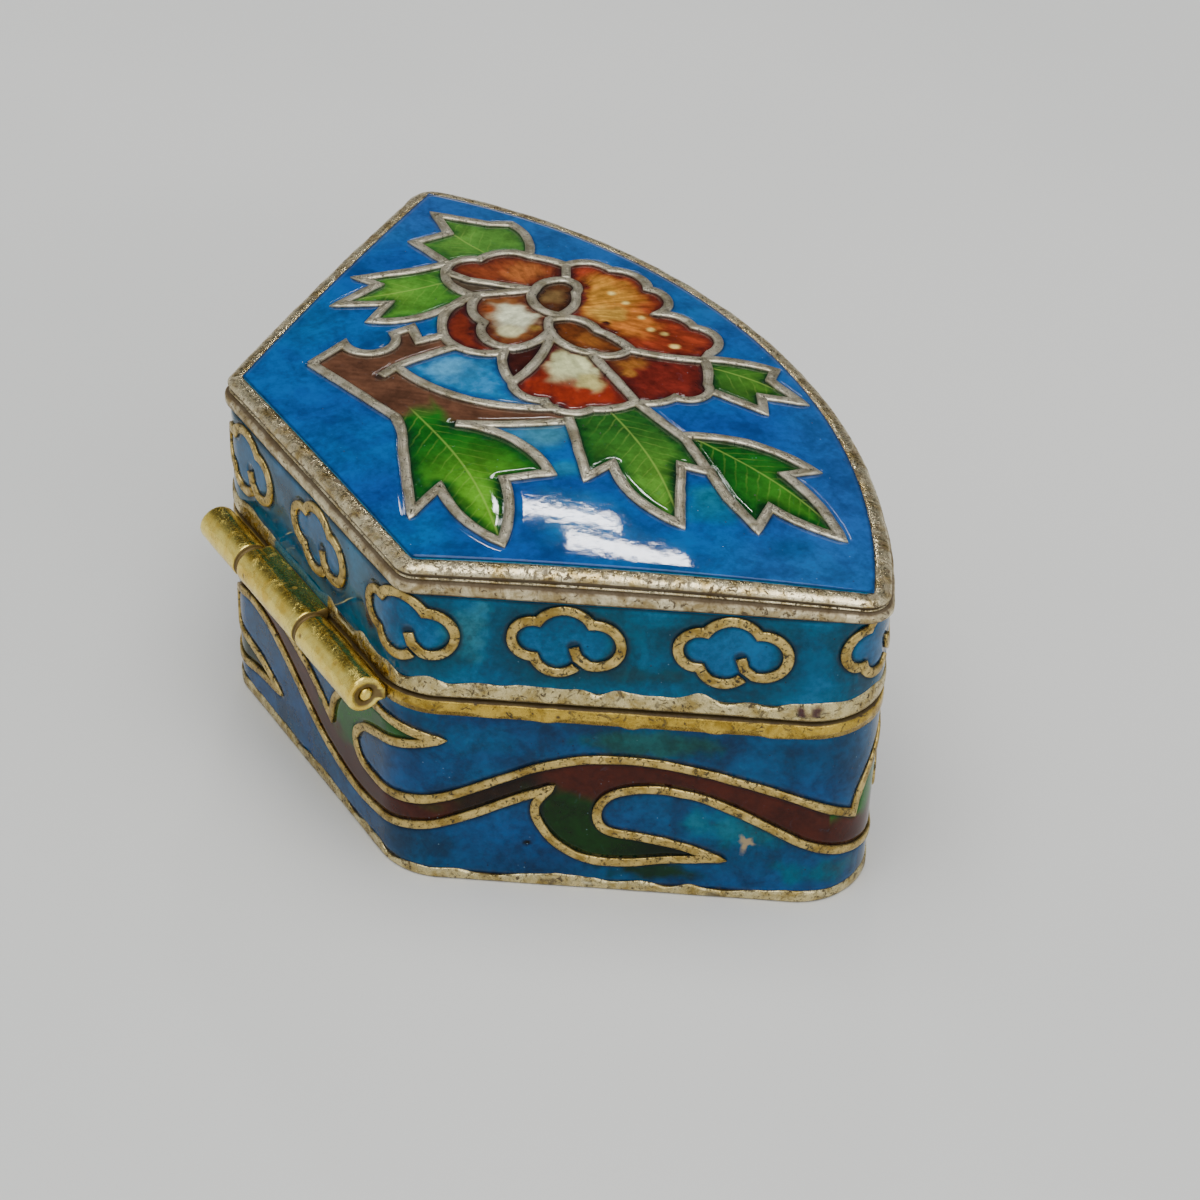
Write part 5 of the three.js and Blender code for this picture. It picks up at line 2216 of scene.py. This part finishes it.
@dataclass
class Studio:
    """Floor, lights and camera; angles in degrees, target and distance in millimetres."""

    site: Site
    azimuth: float = 147.425
    elevation: float = 36.537
    roll: float = 2.148
    distance: float = 192.52
    target: tuple[float, float] = (5.983, -12.038)
    lens: float = 92.87
    sky: float = 0.7
    dark_sky: float = 0.08
    glints: tuple = (((-10.6, 1.3), (0.05, 0.007)), ((-15.2, -0.1), (0.05, 0.009)))
    glint_radiance: float = 55.0
    glint_distance: float = 0.6

    @property
    def eye(self) -> Vector:
        """Where the camera stands."""
        spot = Vector((self.target[0], self.target[1] + self.site.shift, 0))
        return (spot + towards(self.azimuth, self.elevation) * self.distance) * MM

    def floor(self) -> None:
        """A wide pale table."""
        ticks = np.linspace(-1.6, 1.6, 9)
        points = [(x, y, 0.0) for y in ticks for x in ticks]
        faces = quads(len(ticks), len(ticks), False, False)
        add_mesh("table_top", points, faces, FloorFinish().material())

    def room(self) -> None:
        """A soft bluish sky, dark on the side that the lid's top mirrors."""
        world = bpy.data.worlds.new("studio")
        world.use_nodes = True
        tree = world.node_tree
        background = tree.nodes["Background"]
        background.inputs[0].default_value = (0.93, 0.96, 1.0, 1.0)
        way = tree.nodes.new("ShaderNodeTexCoord")
        facing = tree.nodes.new("ShaderNodeVectorMath")
        facing.operation = "DOT_PRODUCT"
        facing.inputs[1].default_value = towards(self.azimuth + 180, 45)
        fade = tree.nodes.new("ShaderNodeMapRange")
        fade.interpolation_type = "SMOOTHSTEP"
        ends = {"From Min": 0.45, "From Max": 0.95, "To Min": self.sky, "To Max": self.dark_sky}
        for name, value in ends.items():
            fade.inputs[name].default_value = value
        tree.links.new(way.outputs["Generated"], facing.inputs[0])
        tree.links.new(facing.outputs["Value"], fade.inputs["Value"])
        tree.links.new(fade.outputs[0], background.inputs[1])
        bpy.context.scene.world = world

    def lights(self) -> None:
        """Soft studio light, with two slim lamps that glint on the lid."""
        middle = Vector((0, self.site.shift * MM, 0.015))
        Lamp("overhead", (0.7, 0.7), 4.0).hang(Vector((-0.05, 0.05, 0.75)), middle)
        Lamp("left_fill", (0.5, 0.5), 2.4, (250, 252, 255)).hang(Vector((-0.75, 0.15, 0.4)), middle)
        for k, ((x, y), size) in enumerate(self.glints):
            at = Vector((x, y + self.site.shift, self.site.crown.peak)) * MM
            normal = self.site.crown.normal(x, y)
            look = (at - self.eye).normalized()
            away = look - 2 * look.dot(normal) * normal
            lamp = Lamp(f"glint_{k + 1}", size, self.glint_radiance)
            lamp.hang(at + away * self.glint_distance, at)

    def camera(self) -> None:
        """Sets up the camera."""
        back, roll = towards(self.azimuth, self.elevation), math.radians(self.roll)
        right = Vector((0, 0, 1)).cross(back).normalized()
        up = back.cross(right)
        tilted = math.cos(roll) * right + math.sin(roll) * up
        upright = math.cos(roll) * up - math.sin(roll) * right
        turn = Matrix((tilted, upright, back)).transposed().to_4x4()
        data = bpy.data.cameras.new("camera")
        data.sensor_width = 36.0
        data.lens = self.lens
        data.clip_start = 0.01
        camera = add_object("camera", data)
        camera.matrix_world = Matrix.Translation(self.eye) @ turn
        bpy.context.scene.camera = camera

    def build(self) -> None:
        """Sets the whole stage."""
        self.floor()
        self.room()
        self.lights()
        self.camera()


# ---- the whole


def find_site() -> Site:
    """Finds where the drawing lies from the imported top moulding.

    Returns:
        The site, with the shift from the drawing to the model.
    """
    fan = Fan()
    moulding_out = 1.12
    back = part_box("lid_top_moulding")[1].y / MM
    return Site(fan, Crown(), Levels(), back - (fan.depth / 2 + moulding_out))


def corners(box: object) -> list:
    """A bounding box as plain lists."""
    return [[float(v) for v in corner] for corner in box]


def main() -> None:
    """Builds every piece of the box and its studio."""
    logging.basicConfig(level=logging.INFO, format="%(name)s %(message)s")
    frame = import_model()
    site = find_site()
    LOG.info("drawing shifted by %.3f mm", site.shift)
    Shell(site).build()
    EnamelPicture(site).build()
    levels = site.levels
    CloudWall(site, "lid_wall_enamel", Body.LID, levels.lid_rim - 0.4, levels.moulding + 0.02).build()
    VineWall(site, "base_wall_enamel", Body.BASE, levels.foot - 0.1, levels.base_rim + 0.5).build()
    for strip in strips(site):
        strip.build()
    Hinge(site, frame["joints"][0]).build()
    Studio(site).build()


if __name__ == "__main__":
    main()
